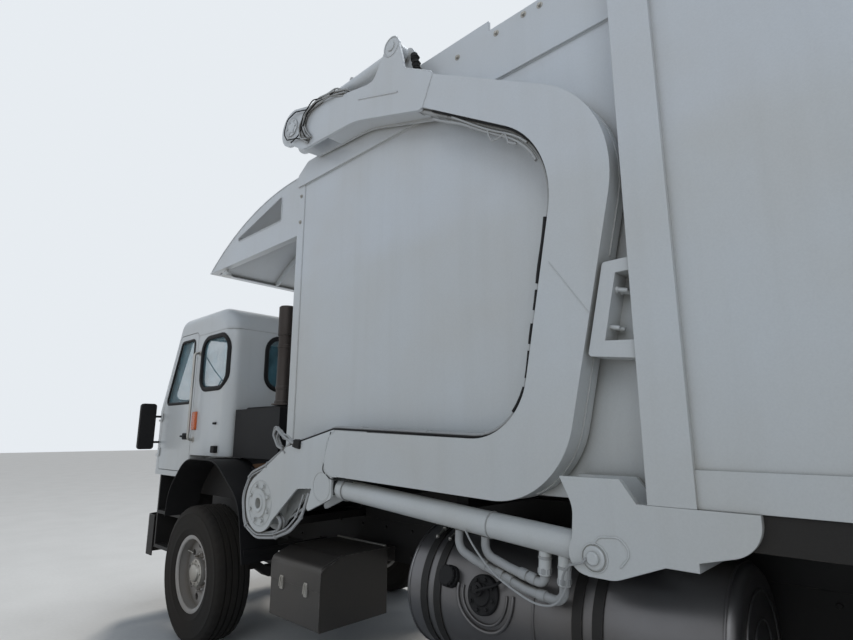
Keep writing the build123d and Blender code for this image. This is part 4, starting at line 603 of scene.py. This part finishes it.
# A thin black line beside the pivot plate's weld: painted shade in the gap between the lapped plates.
SEAM_SHADOW_LINE = ((-0.8, 0.484, 0), (-0.747, 0.345, 0.1), (-0.726, 0.25, 0.03), (-0.81, 0.206, 0.03),
              (-1.029, 0.2, 0))
FORK_RUN = ((-0.98, 2.798, 0), (-0.84, 2.815, 0.1), (-0.7, 2.862, 0.15), (-0.52, 2.88, 0.12),
            (-0.385, 2.85, 0.08), (-0.315, 2.76, 0.06), (-0.35, 2.665, 0.06), (-0.425, 2.612, 0))
FORK_CABLES = ((((-0.4, 2.87, 0), (-0.23, 2.925, 0.06), (-0.115, 2.905, 0.05), (-0.075, 2.8, 0.06),
                 (-0.125, 2.725, 0.04), (-0.25, 2.69, 0.05), (-0.36, 2.64, 0)), 1.2465),
               (((-0.6, 2.865, 0), (-0.48, 2.905, 0.06), (-0.36, 2.83, 0.06), (-0.335, 2.74, 0.05),
                 (-0.4, 2.64, 0)), 1.2605),
               (((-0.72, 2.85, 0), (-0.54, 2.868, 0.06), (-0.41, 2.84, 0.06), (-0.365, 2.76, 0.05),
                 (-0.3, 2.69, 0.04), (-0.2, 2.67, 0)), 1.2545))
CLAMPS_AT = (0.22, 0.38, 0.55, 0.72, 0.95, 1.25, 1.68, 2.18, 2.68, 3.08, 3.45, 3.607, 3.747, 3.877, 4.38, 4.62,
             5.02, 5.3)
PLUG = ((0, 0), (0.026, 0), (0.026, 0.012), (0.018, 0.016), (0.018, 0.03), (0.024, 0.034), (0.024, 0.052),
        (0.017, 0.058), (0.017, 0.07), (0.023, 0.076), (0.025, 0.11), (0.02, 0.118), (0.02, 0.134),
        (0.026, 0.14), (0.024, 0.18), (0.012, 0.192), (0, 0.192))
LIP = ((-0.004, -0.005), (0.022, -0.005), (0.024, 0.0), (0.022, 0.005), (-0.004, 0.005))
for hand, label in HANDS:
    bm = bmesh.new()
    for corners, y, lift in ((PIVOT_RING, 1.221, 0.0055), (FORK_EDGE, 1.2245, 0.005)):
        pipe(bm, arm_run(spread(rounded(corners, False), 0.012), y, hand), lift, 8, lumps=0.3)
    for start, end, y, lift in (((-0.985, 2.69), (-1.374, 2.56), 1.229, 0.006),
                                ((-2.377, 1.225), (-2.553, 0.968), 1.2245, 0.0022)):
        pipe(bm, arm_run(spread([Vector(start), Vector(end)], 0.012), y, hand), lift, 8, lumps=0.25)
    for radius, at, y in ((0.152, (0, 0), 1.22), (0.095, (0, 0), 1.221), (0.087, (-0.72, 0.155), 1.22),
                          (0.066, FORK_BASE, 1.229)):
        pipe(bm, around(arm_point(*at, y, hand), X, Z, radius, 60), 0.004, 6, True, 0.3)
    lay(f"arm_welds_{label}", bm, "white_paint", "lift_arms")
    bm = bmesh.new()
    for at in around(arm_point(0, 0, 1.219, hand), X, Z, 0.122, 8, 0.5):
        bolt(bm, at, Y * hand, 0.024)
    turned(bm, ((0.036, -0.01), (0.036, 0.004), (0.042, 0.008), (0.058, 0.008), (0.062, 0.0)),
           arm_point(0, 0, 1.23, hand), Y * hand, 40)
    lay(f"arm_bolts_{label}", bm, "white_paint", "lift_arms")
    bm = bmesh.new()
    for reach in CLAMPS_AT:
        i = min(range(len(travel)), key=lambda k: abs(travel[k] - reach))
        i = min(max(i, 1), len(line) - 2)
        along = (line[i + 1] - line[i - 1]).normalized()
        for y in (1.193, 1.168):
            turned(bm, ((0.0118, -0.012), (0.015, -0.01), (0.0155, 0), (0.015, 0.01), (0.0118, 0.012)),
                   arm_point(line[i].x, line[i].y, y, hand), (along.x, 0, along.y), 16)
    lay(f"hose_clamps_{label}", bm, "hose_paint", "lift_arms")
    bm = bmesh.new()
    block = rounded(((-0.475, 0.375, 0.01), (-0.405, 0.385, 0.01), (-0.41, 0.44, 0.01), (-0.48, 0.43, 0.01)))
    slab(bm, block, lambda u, v, y: arm_point(u, v, y, hand), 1.19, 1.236, 0.006)
    for v in (0.395, 0.418):
        turned(bm, ((0, 0), (0.013, 0), (0.013, 0.022), (0.009, 0.026), (0, 0.026)),
               arm_point(-0.405, v, 1.213, hand), (1, 0, 0.1), 12)
    # A thin black wire just outside the hose line, placed also as painted shade in the gap between the hoses and the
    # arm's edge.
    pipe(bm, off_line(1.42, 5.45, lambda t: -0.006, 1.214, hand), 0.0055, 8)
    for start, end in LOOM_RUNS:
        pipe(bm, off_line(start, end, lambda t: 0.014 + 0.002 * sin(21 * t), 1.209, hand), 0.0095, 10)
    # Painted shade: the black line in the seam beside the pivot plate's weld.
    pipe(bm, arm_run(spread(rounded(SEAM_SHADOW_LINE, False), 0.02), 1.2215, hand), 0.003, 6)
    lay(f"arm_cables_and_shade_lines_{label}", bm, "black_plastic", "lift_arms")
    bm = bmesh.new()
    for offset, y, radius in ((0.0, 1.208, 0.01), (0.022, 1.19, 0.009), (0.036, 1.214, 0.006)):
        run = rounded([(u * (1 - offset * 2.4), v * (1 - offset * 2.4), r) for u, v, r in PIVOT_LOOP], False)
        pipe(bm, arm_run(run, y, hand), radius, 10)
        for k in (9, 20, 33, 47, 60):
            k = min(k, len(run) - 2)
            along = (run[k + 1] - run[k - 1]).normalized()
            turned(bm, ((radius, -0.008), (radius + 0.004, -0.007), (radius + 0.005, 0), (radius + 0.004, 0.007),
                        (radius, 0.008)), arm_point(run[k].x, run[k].y, y, hand), (along.x, 0, along.y), 14)
    for k, (shift, y) in enumerate(((0.0, 1.228), (0.015, 1.214), (-0.014, 1.206), (0.024, 1.222), (-0.022, 1.22))):
        run = rounded([(u + shift + 0.006 * sin(2 * i + k), v + 0.7 * shift + 0.006 * cos(3 * i + k), r)
                       for i, (u, v, r) in enumerate(PLUG_RUN)], False)
        pipe(bm, arm_run(run, y, hand), 0.009 if k < 3 else 0.006, 10, lumps=0.12)
    start, end = TOP_RUN
    pipe(bm, off_line(start, end, lambda t: 0.024 + 0.012 * abs(sin(5.5 * t)), 1.206, hand), 0.0085, 10)
    pipe(bm, off_line(start + 0.1, end - 0.15, lambda t: 0.013 + 0.01 * sin(8 * t), 1.214, hand), 0.006, 8)
    for start, depth in ((4.66, 0.046), (4.8, 0.055)):
        bow = off_line(start, start + BOW, lambda t: 0.018 + depth * sin(pi * (t - start) / BOW) ** 2, 1.212, hand)
        pipe(bm, bow, 0.006, 8)
    for k, (shift, y) in enumerate(((0.0, 1.24), (0.022, 1.244), (-0.02, 1.248), (0.012, 1.256), (-0.034, 1.242))):
        run = rounded([(u + shift + 0.01 * sin(2 * i + 3 * k), v - 0.5 * shift + 0.01 * sin(3 * i + 2 * k), r)
                       for i, (u, v, r) in enumerate(FORK_RUN)], False)
        pipe(bm, [arm_point(p.x, p.y, y - 0.085 * max(0, 1 - i / 9), hand) for i, p in enumerate(run)],
             0.009 if k < 3 else 0.006, 10, lumps=0.1)
    lay(f"arm_hoses_{label}", bm, "hose_paint", "lift_arms")
    bm = bmesh.new()
    for path, y in FORK_CABLES:
        pipe(bm, arm_run(rounded(path, False), y, hand), 0.0045, 8)
    foot, lean = arm_point(-1.478, 2.655, 1.15, hand), (0.22, 0, 1)
    turned(bm, PLUG, foot, lean, 18)
    for k in range(3):
        turned(bm, ((0.004, 0), (0.03, 0.004), (0.03, 0.01), (0.004, 0.012)),
               foot + Vector((0.006 + 0.01 * k, 0, 0.045 + 0.048 * k)), lean, 6)
    lay(f"fork_plug_{label}", bm, "black_plastic", "lift_arms")
    bm = bmesh.new()
    for low, high in ((1.21, 1.87), (0.2, 0.85)):
        path = [p for p in back_edge if low < p.y < high]
        band(bm, arm_run(path, 1.128, hand), [Y * hand] * len(path), [(hand * a, b) for a, b in LIP], False)
    lay(f"arm_lips_{label}", bm, "white_paint", "lift_arms")

# Forks and their cylinders: pin caps with bolts, hose stubs
FORK_AT = (-0.17, 2.82)
CYLINDER_Y = 1.145
for hand, label in HANDS:
    bm = bmesh.new()
    at = arm_point(*FORK_AT, 1.238, hand)
    turned(bm, ((0.044, 0), (0.044, 0.003), (0.036, 0.005), (0.0, 0.005)), at, Y * hand, 40)
    for stud in around(at, X, Z, 0.056, 6):
        bolt(bm, stud, Y * hand, 0.012, False)
    lay(f"fork_cap_{label}", bm, "white_paint", "forks")
    bm = bmesh.new()
    turned(bm, ((0.03, -0.003), (0.03, 0.004), (0.024, 0.007), (0, 0.007)), arm_point(*FORK_BASE, 1.231, hand),
           Y * hand, 24)
    lay(f"fork_base_pin_{label}", bm, "white_paint", "lift_arms")
    bm = bmesh.new()
    for u in (-1.2, -0.8):
        turned(bm, ((0, 0), (0.018, 0), (0.018, 0.02), (0.013, 0.024), (0.013, 0.034), (0, 0.034)),
               arm_point(u, FORK_BASE[1] + 0.036, CYLINDER_Y, hand), Z, 16)
    lay(f"fork_fittings_{label}", bm, "hose_paint", "fork_barrels")

# Lift cylinders: weld rings, gland bolts, the rod's wiper, collars on the lines and thin cables
BASE, EYE = Vector((-0.29, 0, 1.2)), Vector((1.48, 0, 1.335))
ALONG = (EYE - BASE).normalized()
UP = Vector((-ALONG.z, 0, ALONG.x))
GLAND = (EYE - BASE).length - 0.116
LONG_CABLE = ((0.055, -0.02, 1.204), (0.085, -0.06, 1.212), (0.11, -0.15, 1.192), (0.16, -0.235, 1.186),
              (0.25, -0.262, 1.182), (0.36, -0.24, 1.184), (0.48, -0.19, 1.19), (0.58, -0.11, 1.196),
              (0.64, -0.04, 1.199))
SHORT_CABLE = ((-0.3, 1.266, 1.19), (-0.285, 1.272, 1.172), (-0.255, 1.266, 1.162), (-0.222, 1.252, 1.152),
               (-0.194, 1.238, 1.13), (-0.17, 1.222, 1.096), (-0.155, 1.205, 1.06))


def barrel_point(along, height, y, hand):
    """Point by its place along the barrel from the base pin and its height off the barrel's axis."""
    return BASE + ALONG * along + UP * height + Y * (hand * y)


for hand, label in HANDS:
    bm = bmesh.new()
    for along, radius in ((0.06, 0.0595), (GLAND - 0.058, 0.0618), (0.52, 0.0592)):
        ring = around(barrel_point(along, 0, CYLINDER_Y, hand), UP, Y * hand, radius, 48)
        pipe(bm, ring, 0.0035, 6, True, 0.25)
    face = barrel_point(GLAND, 0, CYLINDER_Y, hand)
    for at in around(face, UP, Y * hand, 0.049, 8, 0.5):
        bolt(bm, at, ALONG, 0.011, False)
    turned(bm, ((0.0355, 0), (0.043, 0), (0.041, 0.01), (0.0355, 0.012)), face, ALONG, 32)
    for along, depth in ((0.24, 0.15), (0.147, 0.17)):
        at = barrel_point(along, 0.004 - depth, CYLINDER_Y, hand)
        turned(bm, ((0.0275, 0), (0.031, 0.003), (0.031, 0.022), (0.0275, 0.026)), at, UP, 6)
        turned(bm, ((0.0275, 0), (0.0295, 0.002), (0.0295, 0.01), (0.0275, 0.012)), at + UP * 0.06, UP, 24)
    for along, height, tilt in ((0.3, -0.179, 0.14), (0.345, -0.173, 0.14), (0.25, -0.2355, 0.0),
                                (0.42, -0.2125, 0.195), (0.47, -0.2015, 0.195), (0.56, -0.184, 0.195)):
        turned(bm, ((0.02, -0.02), (0.0235, -0.018), (0.0245, 0.0), (0.0235, 0.018), (0.02, 0.02)),
               barrel_point(along, height, CYLINDER_Y, hand), ALONG + UP * tilt, 20)
    pipe(bm, smooth([barrel_point(*place, hand) for place in LONG_CABLE], 6), 0.0045, 8)
    pipe(bm, [Vector((x, hand * y, z)) for x, y, z in SHORT_CABLE], 0.0045, 8)
    lay(f"lift_fittings_{label}", bm, "hose_paint", "lift_barrels")

# Arm stops' bolts; the lift cylinder's base pin on the fairing, with its welds
bm = bmesh.new()
STOP_WAY = Vector((-0.975, 0, -0.223)).normalized()
BASE_PIN = (-0.322, 1.19)
FAIRING_Y = 1.2405
for hand in SIDES:
    for x, z in ((-0.462, 2.235), (-0.416, 2.085)):
        for y in (1.13, 1.18):
            at = Vector((x + 0.012, hand * y, z))
            turned(bm, ((0, 0), (0.01, 0), (0.01, 0.055), (0.007, 0.06), (0, 0.06)), at, STOP_WAY, 10)
            bolt(bm, at, STOP_WAY, 0.026)
    pipe(bm, around(side(hand)(*BASE_PIN, FAIRING_Y), X, Z, 0.052, 60), 0.004, 6, True, 0.3)
    turned(bm, ((0, 0), (0.044, 0), (0.044, 0.008), (0.039, 0.012), (0.025, 0.012), (0.025, 0.022), (0.02, 0.026),
                (0, 0.026)), side(hand)(*BASE_PIN, FAIRING_Y - 0.0005), Y * hand, 32)
    arc = spread(rounded(((-0.318, 1.238, 0), (-0.345, 1.268, 0.03), (-0.425, 1.276, 0.04), (-0.472, 1.225, 0.04),
                          (-0.423, 1.17, 0)), False), 0.008)
    pipe(bm, on_side(arc, FAIRING_Y, hand), 0.0045, 6, lumps=0.25)
lay("stop_bolts", bm, "white_paint")

# Hopper, canopy and body: bolts in the top rail, seam welds, edge bead, work lamps
RAIL_BOLTS = ((0.477, 3.891), (0.187, 3.893), (0.002, 3.905), (-0.101, 3.9), (0.75, 3.892), (1.05, 3.892),
              (1.35, 3.892))
HOPPER_WELDS = (((-0.54, 3.604), (2.09, 3.604)), ((2.094, 1.46), (2.094, 3.6)), ((-0.54, 1.446), (2.09, 1.446)))
CANOPY_R = 2.522
HOPPER_Y, BODY_Y = 1.0405, 1.2125
bm = bmesh.new()
for hand in SIDES:
    for x, z in RAIL_BOLTS:
        bolt(bm, Vector((x, hand * 1.058, z)), Y * hand, 0.018)
    for z in (3.3, 3.52):
        bolt(bm, Vector((2.14, hand * 1.046, z)), Y * hand, 0.016)
lay("hopper_bolts", bm, "rod_chrome", look="zinc")
bm = bmesh.new()
window = rounded(((2.44, 3.4, 0.025), (3.32, 3.4, 0.02), (2.44, 3.625, 0.025)))
for hand in SIDES:
    for start, end in HOPPER_WELDS:
        pipe(bm, on_side(spread([Vector(start), Vector(end)], 0.02), HOPPER_Y + 0.001, hand), 0.0035, 6, lumps=0.25)
    arc = [arm_point(CANOPY_R * cos(radians(a)), CANOPY_R * sin(radians(a)), HOPPER_Y, hand) for a in range(54, 90)]
    pipe(bm, arc, 0.005, 6, lumps=0.2)
    pipe(bm, on_side(spread(window, 0.02, True), HOPPER_Y, hand), 0.005, 6, True, 0.15)
for x in (-1.6, -2.45, -3.3):
    path = spread([Vector((x, 1.545)), Vector((x, 3.86))], 0.025)
    for hand in SIDES:
        pipe(bm, on_side(path, BODY_Y, hand), 0.003, 6, lumps=0.3)
lay("body_welds", bm, "white_paint")
bm = bmesh.new()
for hand in SIDES:
    at = Vector((3.452, hand * 0.995, 3.175))
    turned(bm, ((0, 0), (0.03, 0), (0.045, -0.018), (0.048, -0.04), (0.044, -0.044), (0, -0.04)), at, Z, 24)
    pipe(bm, [at, at + Z * 0.03], 0.01, 8)
lay("canopy_lamps", bm, "lamp_lens")

# Fuel tank: seams, cap, sender flange, arcs round it, strap bolts
TANK = (0.8, 0.85)
TANK_R = 0.315


def tank_point(x, turn, radius=TANK_R):
    """Point on the tank's skin; turn is measured from the outside upwards in degrees."""
    way = Vector((0, cos(radians(turn)), sin(radians(turn))))
    return Vector((x, *TANK)) + way * radius, way


bm = bmesh.new()
for x in (-0.71, 0.05, 0.81):
    ring = [tank_point(x, 6 * k, 0.3155)[0] for k in range(60)]
    pipe(bm, ring, 0.006, 6, True, 0.2)
for x in (-0.753, 0.853):
    for radius in (0.12, 0.22):
        pipe(bm, around((x, *TANK), Y, Z, radius, 48), 0.006, 6, True)
lay("tank_seams", bm, "tank_aluminium")
bm = bmesh.new()
cap, way = tank_point(0.53, 20)
turned(bm, ((0, -0.004), (0.052, -0.004), (0.052, 0.02), (0.047, 0.024), (0.047, 0.042), (0.042, 0.048), (0, 0.048)),
       cap, way, 32)
across = way.orthogonal().normalized()
for foot in around(cap, across, way.cross(across), 0.047, 14):
    pipe(bm, [foot + way * 0.024, foot + way * 0.044], 0.004, 6)
FLANGE_X, FLANGE_TURN = 0.32, 12
flange, out = tank_point(FLANGE_X, FLANGE_TURN, 0.305)
turned(bm, ((0, 0), (0.088, 0), (0.088, 0.02), (0.082, 0.026), (0.05, 0.026), (0.046, 0.034), (0, 0.034)), flange,
       out, 40)
lean = X.cross(out)
for at in around(flange + out * 0.026, X, lean, 0.067, 8, 0.3):
    bolt(bm, at, out, 0.015)
at = flange + out * 0.03 + X * 0.015 + lean * 0.02
turned(bm, ((0, 0), (0.03, 0), (0.03, 0.018), (0.018, 0.022), (0.018, 0.036), (0, 0.036)), at, out, 20)
pipe(bm, [at + out * 0.03, at + out * 0.05 - X * 0.03, at + Vector((-0.1, -0.02, 0.03)) + out * 0.03,
          at + Vector((-0.17, -0.1, 0.1)) + out * 0.01], 0.007, 8)
lay("tank_fittings", bm, "black_plastic")
bm = bmesh.new()
for reach, thick in ((0.128, 0.006), (0.16, 0.009)):
    arc = []
    for a in range(172, 371, 6):
        rise = degrees(reach * sin(radians(a)) / TANK_R)
        arc.append(tank_point(FLANGE_X - 0.005 + reach * cos(radians(a)), FLANGE_TURN + rise, 0.318)[0])
    pipe(bm, arc, thick, 8)
lay("tank_arcs", bm, "tank_aluminium")
bm = bmesh.new()
for x in (0.7, 0.61, -0.16, -0.25):
    for turn in (60, -70):
        at, way = tank_point(x, turn, 0.322)
        down = way.cross(X)
        pipe(bm, [at + way * 0.014 - down * 0.05, at + way * 0.014 + down * 0.06], 0.006, 8)
        bolt(bm, at + way * 0.014 + down * 0.045, down, 0.018, False)
        turned(bm, ((0, 0), (0.012, 0), (0.012, 0.036), (0, 0.036)), at + way * 0.012 - down * 0.05, down, 10)
lay("strap_bolts", bm, "rod_chrome", look="zinc")

# Tool box: its rolled lid, latches and hinge
bm = bmesh.new()
lid = [Vector((1.1235, 0.69)), Vector((1.1235, 0.79))]
lid += [Vector((1.0835 + 0.04 * cos(a), 0.79 + 0.0435 * sin(a))) for a in (pi / 8, pi / 4, 3 * pi / 8)]
lid += [Vector(p) for p in ((1.075, 0.8365), (1.03, 0.853), (0.975, 0.872), (0.93, 0.8835), (0.56, 0.8835))]
inner = [Vector((p.x - 0.0055, p.y - (0 if i < 2 else 0.0055))) for i, p in enumerate(lid)]
ring = lid + inner[::-1]
ends = []
for x in (1.588, 1.592, 2.162, 2.166):
    tuck = 0.002 if x in (1.588, 2.166) else 0
    ends.append([bm.verts.new(Vector((x, p.x - tuck, p.y - (0 if i < 2 else tuck)))) for i, p in enumerate(ring)])
skin(bm, ends)
# The lid takes the tool box's finish, darkened with painted shade.
lay("tool_box_lid", bm, "chassis_black", look="toolbox_shaded_grey")
bm = bmesh.new()
for x in (1.74, 2.02):
    slab(bm, panel(x - 0.018, x + 0.018, 0.64, 0.725, 0.005), side(1), 1.119, 1.129, 0.003)
    pipe(bm, [Vector((x - 0.012, 1.132, 0.715)), Vector((x - 0.012, 1.138, 0.66)), Vector((x + 0.012, 1.138, 0.66)),
              Vector((x + 0.012, 1.132, 0.715))], 0.003, 6)
pipe(bm, [Vector((1.6, 0.566, 0.888)), Vector((2.15, 0.566, 0.888))], 0.008, 10)
lay("tool_box_latches", bm, "rod_chrome", look="zinc")

# Behind the cab: hoses, a rusty shield, the exhaust's clamps and guard
ENGINE_HOSES = ((((2.4, 0.55, 1.1), (2.36, 0.7, 1.25), (2.38, 0.82, 1.55), (2.42, 0.84, 1.75)), 0.03),
                (((2.34, 0.4, 1.05), (2.33, 0.62, 1.3), (2.36, 0.72, 1.62)), 0.022),
                (((3.1, 0.9, 1.3), (2.9, 0.915, 1.22), (2.6, 0.91, 1.26), (2.44, 0.9, 1.4)), 0.016),
                (((3.12, 0.88, 1.42), (2.86, 0.905, 1.36), (2.55, 0.9, 1.34)), 0.012))
bm = bmesh.new()
for path, radius in ENGINE_HOSES:
    pipe(bm, [Vector(p) for p in path], radius, 10)
lay("engine_hoses", bm, "black_plastic")
bm = bmesh.new()
shield = rounded(((2.48, 1.24, 0.02), (3.02, 1.24, 0.02), (2.96, 1.4, 0.03), (2.56, 1.44, 0.03)))
slab(bm, shield, side(1), 0.872, 0.88, 0.003)
lay("heat_shield", bm, "exhaust_steel", look="rust")
bm = bmesh.new()
STACK = (2.53, 0.88)
for z in (1.905, 2.02, 2.36):
    turned(bm, ((0.0575, -0.014), (0.0625, -0.012), (0.0625, 0.012), (0.0575, 0.014)), (*STACK, z), Z, 40)
    bolt(bm, Vector((STACK[0] + 0.058, STACK[1] + 0.03, z)), (1, 0.5, 0), 0.014, False)
turned(bm, ((0.0575, 0), (0.0655, 0), (0.0665, 0.2), (0.0665, 0.24), (0.0605, 0.243)), (*STACK, 2.452), Z, 40)
lay("exhaust_guard", bm, "exhaust_steel")

# Under the frame: air tanks, brake chambers, oil sump, wheel-arch liners, rail bolts, mudflaps
DRUM = ((0, 0), (0.07, 0.008), (0.105, 0.03), (0.112, 0.06), (0.112, 0.7), (0.105, 0.73), (0.07, 0.752), (0, 0.76))
CHAMBER = ((0, 0), (0.06, 0), (0.075, 0.02), (0.078, 0.055), (0.084, 0.058), (0.084, 0.07), (0.078, 0.073),
           (0.078, 0.15), (0.065, 0.165), (0, 0.168))
RAIL_Y = 0.43
bm = bmesh.new()
for y, z in ((-0.62, 0.74), (-0.62, 0.98)):
    turned(bm, DRUM, (-0.86, y, z), X, 32)
    for x in (-0.72, -0.26):
        pipe(bm, [Vector((x, -RAIL_Y, z)), Vector((x, -0.52, z))], 0.016, 8)
for x in (-1.48, -2.82):
    for hand in SIDES:
        turned(bm, CHAMBER, (x + 0.16, hand * 0.33, 0.62), (0.35, 0, 0.4), 24)
lay("air_and_brake_gear", bm, "chassis_black")
bm = bmesh.new()
sump = rounded(((-0.33, 0.9, 0), (-0.3, 0.6, 0.08), (0.3, 0.6, 0.08), (0.33, 0.9, 0)))
slab(bm, sump, lambda u, v, d: Vector((3.48 + d, u, v)), 0, 0.8, 0.03)
for k in range(6):
    for y in (-0.325, 0.325):
        bolt(bm, Vector((3.56 + 0.13 * k, y, 0.86)), (0, y, 0), 0.02, False)
lay("oil_sump", bm, "chassis_black")
bm = bmesh.new()
liner = rounded(((2.86, 1.1, 0), (2.9, 1.28, 0.2), (3.05, 1.432, 0.2), (3.58, 1.432, 0.3), (3.84, 1.22, 0.2),
                 (3.9, 1.1, 0)))
LINER_Y, LINER_T = 0.868, 0.014
for hand in SIDES:
    slab(bm, liner, lambda u, v, d: Vector((u, hand * (LINER_Y + d), v)), 0, LINER_T, 0.003)
    for x, z in ((2.98, 1.3), (3.1, 1.39), (3.32, 1.4), (3.55, 1.39), (3.74, 1.28), (3.84, 1.15)):
        bolt(bm, Vector((x, hand * (LINER_Y + LINER_T), z)), Y * hand, 0.014)
lay("wheel_arch_liners", bm, "chassis_black")
bm = bmesh.new()
for hand in SIDES:
    for k in range(26):
        x = 3.1 - 0.27 * k
        for z in (0.81, 0.98):
            bolt(bm, Vector((x, hand * RAIL_Y, z)), Y * hand, 0.02, False)
lay("rail_bolts", bm, "chassis_black")
bm = bmesh.new()
flap = rounded(((-1.16, 0.3, 0.03), (-0.62, 0.3, 0.03), (-0.62, 0.95, 0.01), (-1.16, 0.95, 0.01)))
for hand in SIDES:
    slab(bm, flap, lambda u, v, d: Vector((-3.5 + d, hand * -u, v)), 0, 0.01, 0.003)
    pipe(bm, [Vector((-3.495, hand * 0.42, 0.955)), Vector((-3.495, hand * 1.17, 0.955))], 0.018, 10)
lay("mudflaps", bm, "black_plastic")

# Rear: red lamps on the underrun bar and tailgate, gate ribs and seams, blank plate
bm = bmesh.new()
for hand in SIDES:
    for y in (0.88, 0.99, 1.08):
        turned(bm, ((0, 0), (0.044, 0), (0.044, 0.008), (0.034, 0.017), (0, 0.02)), (-4.245, hand * y, 0.56), -X, 28)
lay("tail_lenses", bm, "lamp_lens", look="red")
bm = bmesh.new()
for y in (-0.9, -0.18, 0, 0.18, 0.9):
    turned(bm, ((0, 0), (0.036, 0), (0.036, 0.008), (0.026, 0.02), (0, 0.023)), (-4.797, y, 3.28), -X, 24)
lay("gate_lenses", bm, "lamp_lens", "tailgate", "red")
GATE_SEAM = ((-4.18, 1.36), (-4.4, 1.38), (-4.55, 1.55), (-4.76, 2.25), (-4.76, 3.45), (-4.6, 3.78), (-4.42, 3.9),
             (-4.18, 3.9))
bm = bmesh.new()
for y in (-0.72, 0, 0.72):
    slab(bm, panel(y - 0.045, y + 0.045, 2.34, 3.12, 0.02), lambda u, v, d: Vector((-4.796 - d, u, v)), -0.006,
         0.022, 0.006)
for hand in SIDES:
    pipe(bm, spread([Vector((x, hand * BODY_Y, z)) for x, z in GATE_SEAM], 0.03), 0.004, 6, lumps=0.2)
lay("gate_ribs", bm, "white_paint", "tailgate")
bm = bmesh.new()
slab(bm, panel(-0.16, 0.16, 0.505, 0.6, 0.01), lambda u, v, d: Vector((-4.21 - d, u, v)), 0, 0.004, 0.001)
lay("blank_plate", bm, "white_paint", look="zinc")

# Stage: pale floor, pale background for the eye, soft light
floor_mesh = bpy.data.meshes.new("floor")
floor_mesh.from_pydata([(-60, -60, 0), (60, -60, 0), (60, 60, 0), (-60, 60, 0)], [], [(0, 1, 2, 3)])
floor = bpy.data.objects.new("floor", floor_mesh)
bpy.context.scene.collection.objects.link(floor)
surface("floor", (0.66, 0.65, 0.63), (0.6, 0.59, 0.57), 0.5, 0.85, 0.1, 30, edge=0)
floor.data.materials.append(LOOKS["floor"])

world = bpy.data.worlds.new("world")
bpy.context.scene.world = world
world.use_nodes = True
nodes, links = world.node_tree.nodes, world.node_tree.links
path = nodes.new("ShaderNodeLightPath")
seen = path.outputs["Is Camera Ray"]
for ray in ("Is Glossy Ray", "Is Transmission Ray"):
    either = nodes.new("ShaderNodeMath")
    either.operation = "MAXIMUM"
    links.new(seen, either.inputs[0])
    links.new(path.outputs[ray], either.inputs[1])
    seen = either.outputs["Value"]
sky = nodes.new("ShaderNodeBackground")
sky.inputs["Color"].default_value = (0.72, 0.84, 1.0, 1)
sky.inputs["Strength"].default_value = 0.34
back = nodes.new("ShaderNodeBackground")
back.inputs["Color"].default_value = (0.8, 0.84, 0.88, 1)
back.inputs["Strength"].default_value = 1.0
choose = nodes.new("ShaderNodeMixShader")
links.new(seen, choose.inputs[0])
links.new(sky.outputs["Background"], choose.inputs[1])
links.new(back.outputs["Background"], choose.inputs[2])
links.new(choose.outputs["Shader"], nodes["World Output"].inputs["Surface"])

# Lamps: a sun that lights without a mirror image of itself, and two broad lamps
sun = bpy.data.objects.new("sun", bpy.data.lights.new("sun", "SUN"))
bpy.context.scene.collection.objects.link(sun)
sun.rotation_euler = Vector((-12, 10, -12)).to_track_quat("-Z", "Y").to_euler()
sun.data.angle = radians(12)
sun.data.energy = 2.05
sun.visible_glossy = False
sun.data.color = (1.0, 0.96, 0.9)
# Name, place, what it looks at, width, power, colour
LAMPS = (("top", (2, -3, 14), (1, 0, 3), 9, 640, (0.9, 0.95, 1.0)),
         ("fill", (-6, 11, 8), (1, 1, 2), 7, 300, (0.88, 0.94, 1.0)))
for name, at, target, size, power, colour in LAMPS:
    lamp = bpy.data.objects.new(name, bpy.data.lights.new(name, "AREA"))
    bpy.context.scene.collection.objects.link(lamp)
    lamp.location = at
    lamp.rotation_euler = (Vector(target) - Vector(at)).to_track_quat("-Z", "Y").to_euler()
    lamp.data.size = size
    lamp.data.energy = power
    lamp.data.color = colour
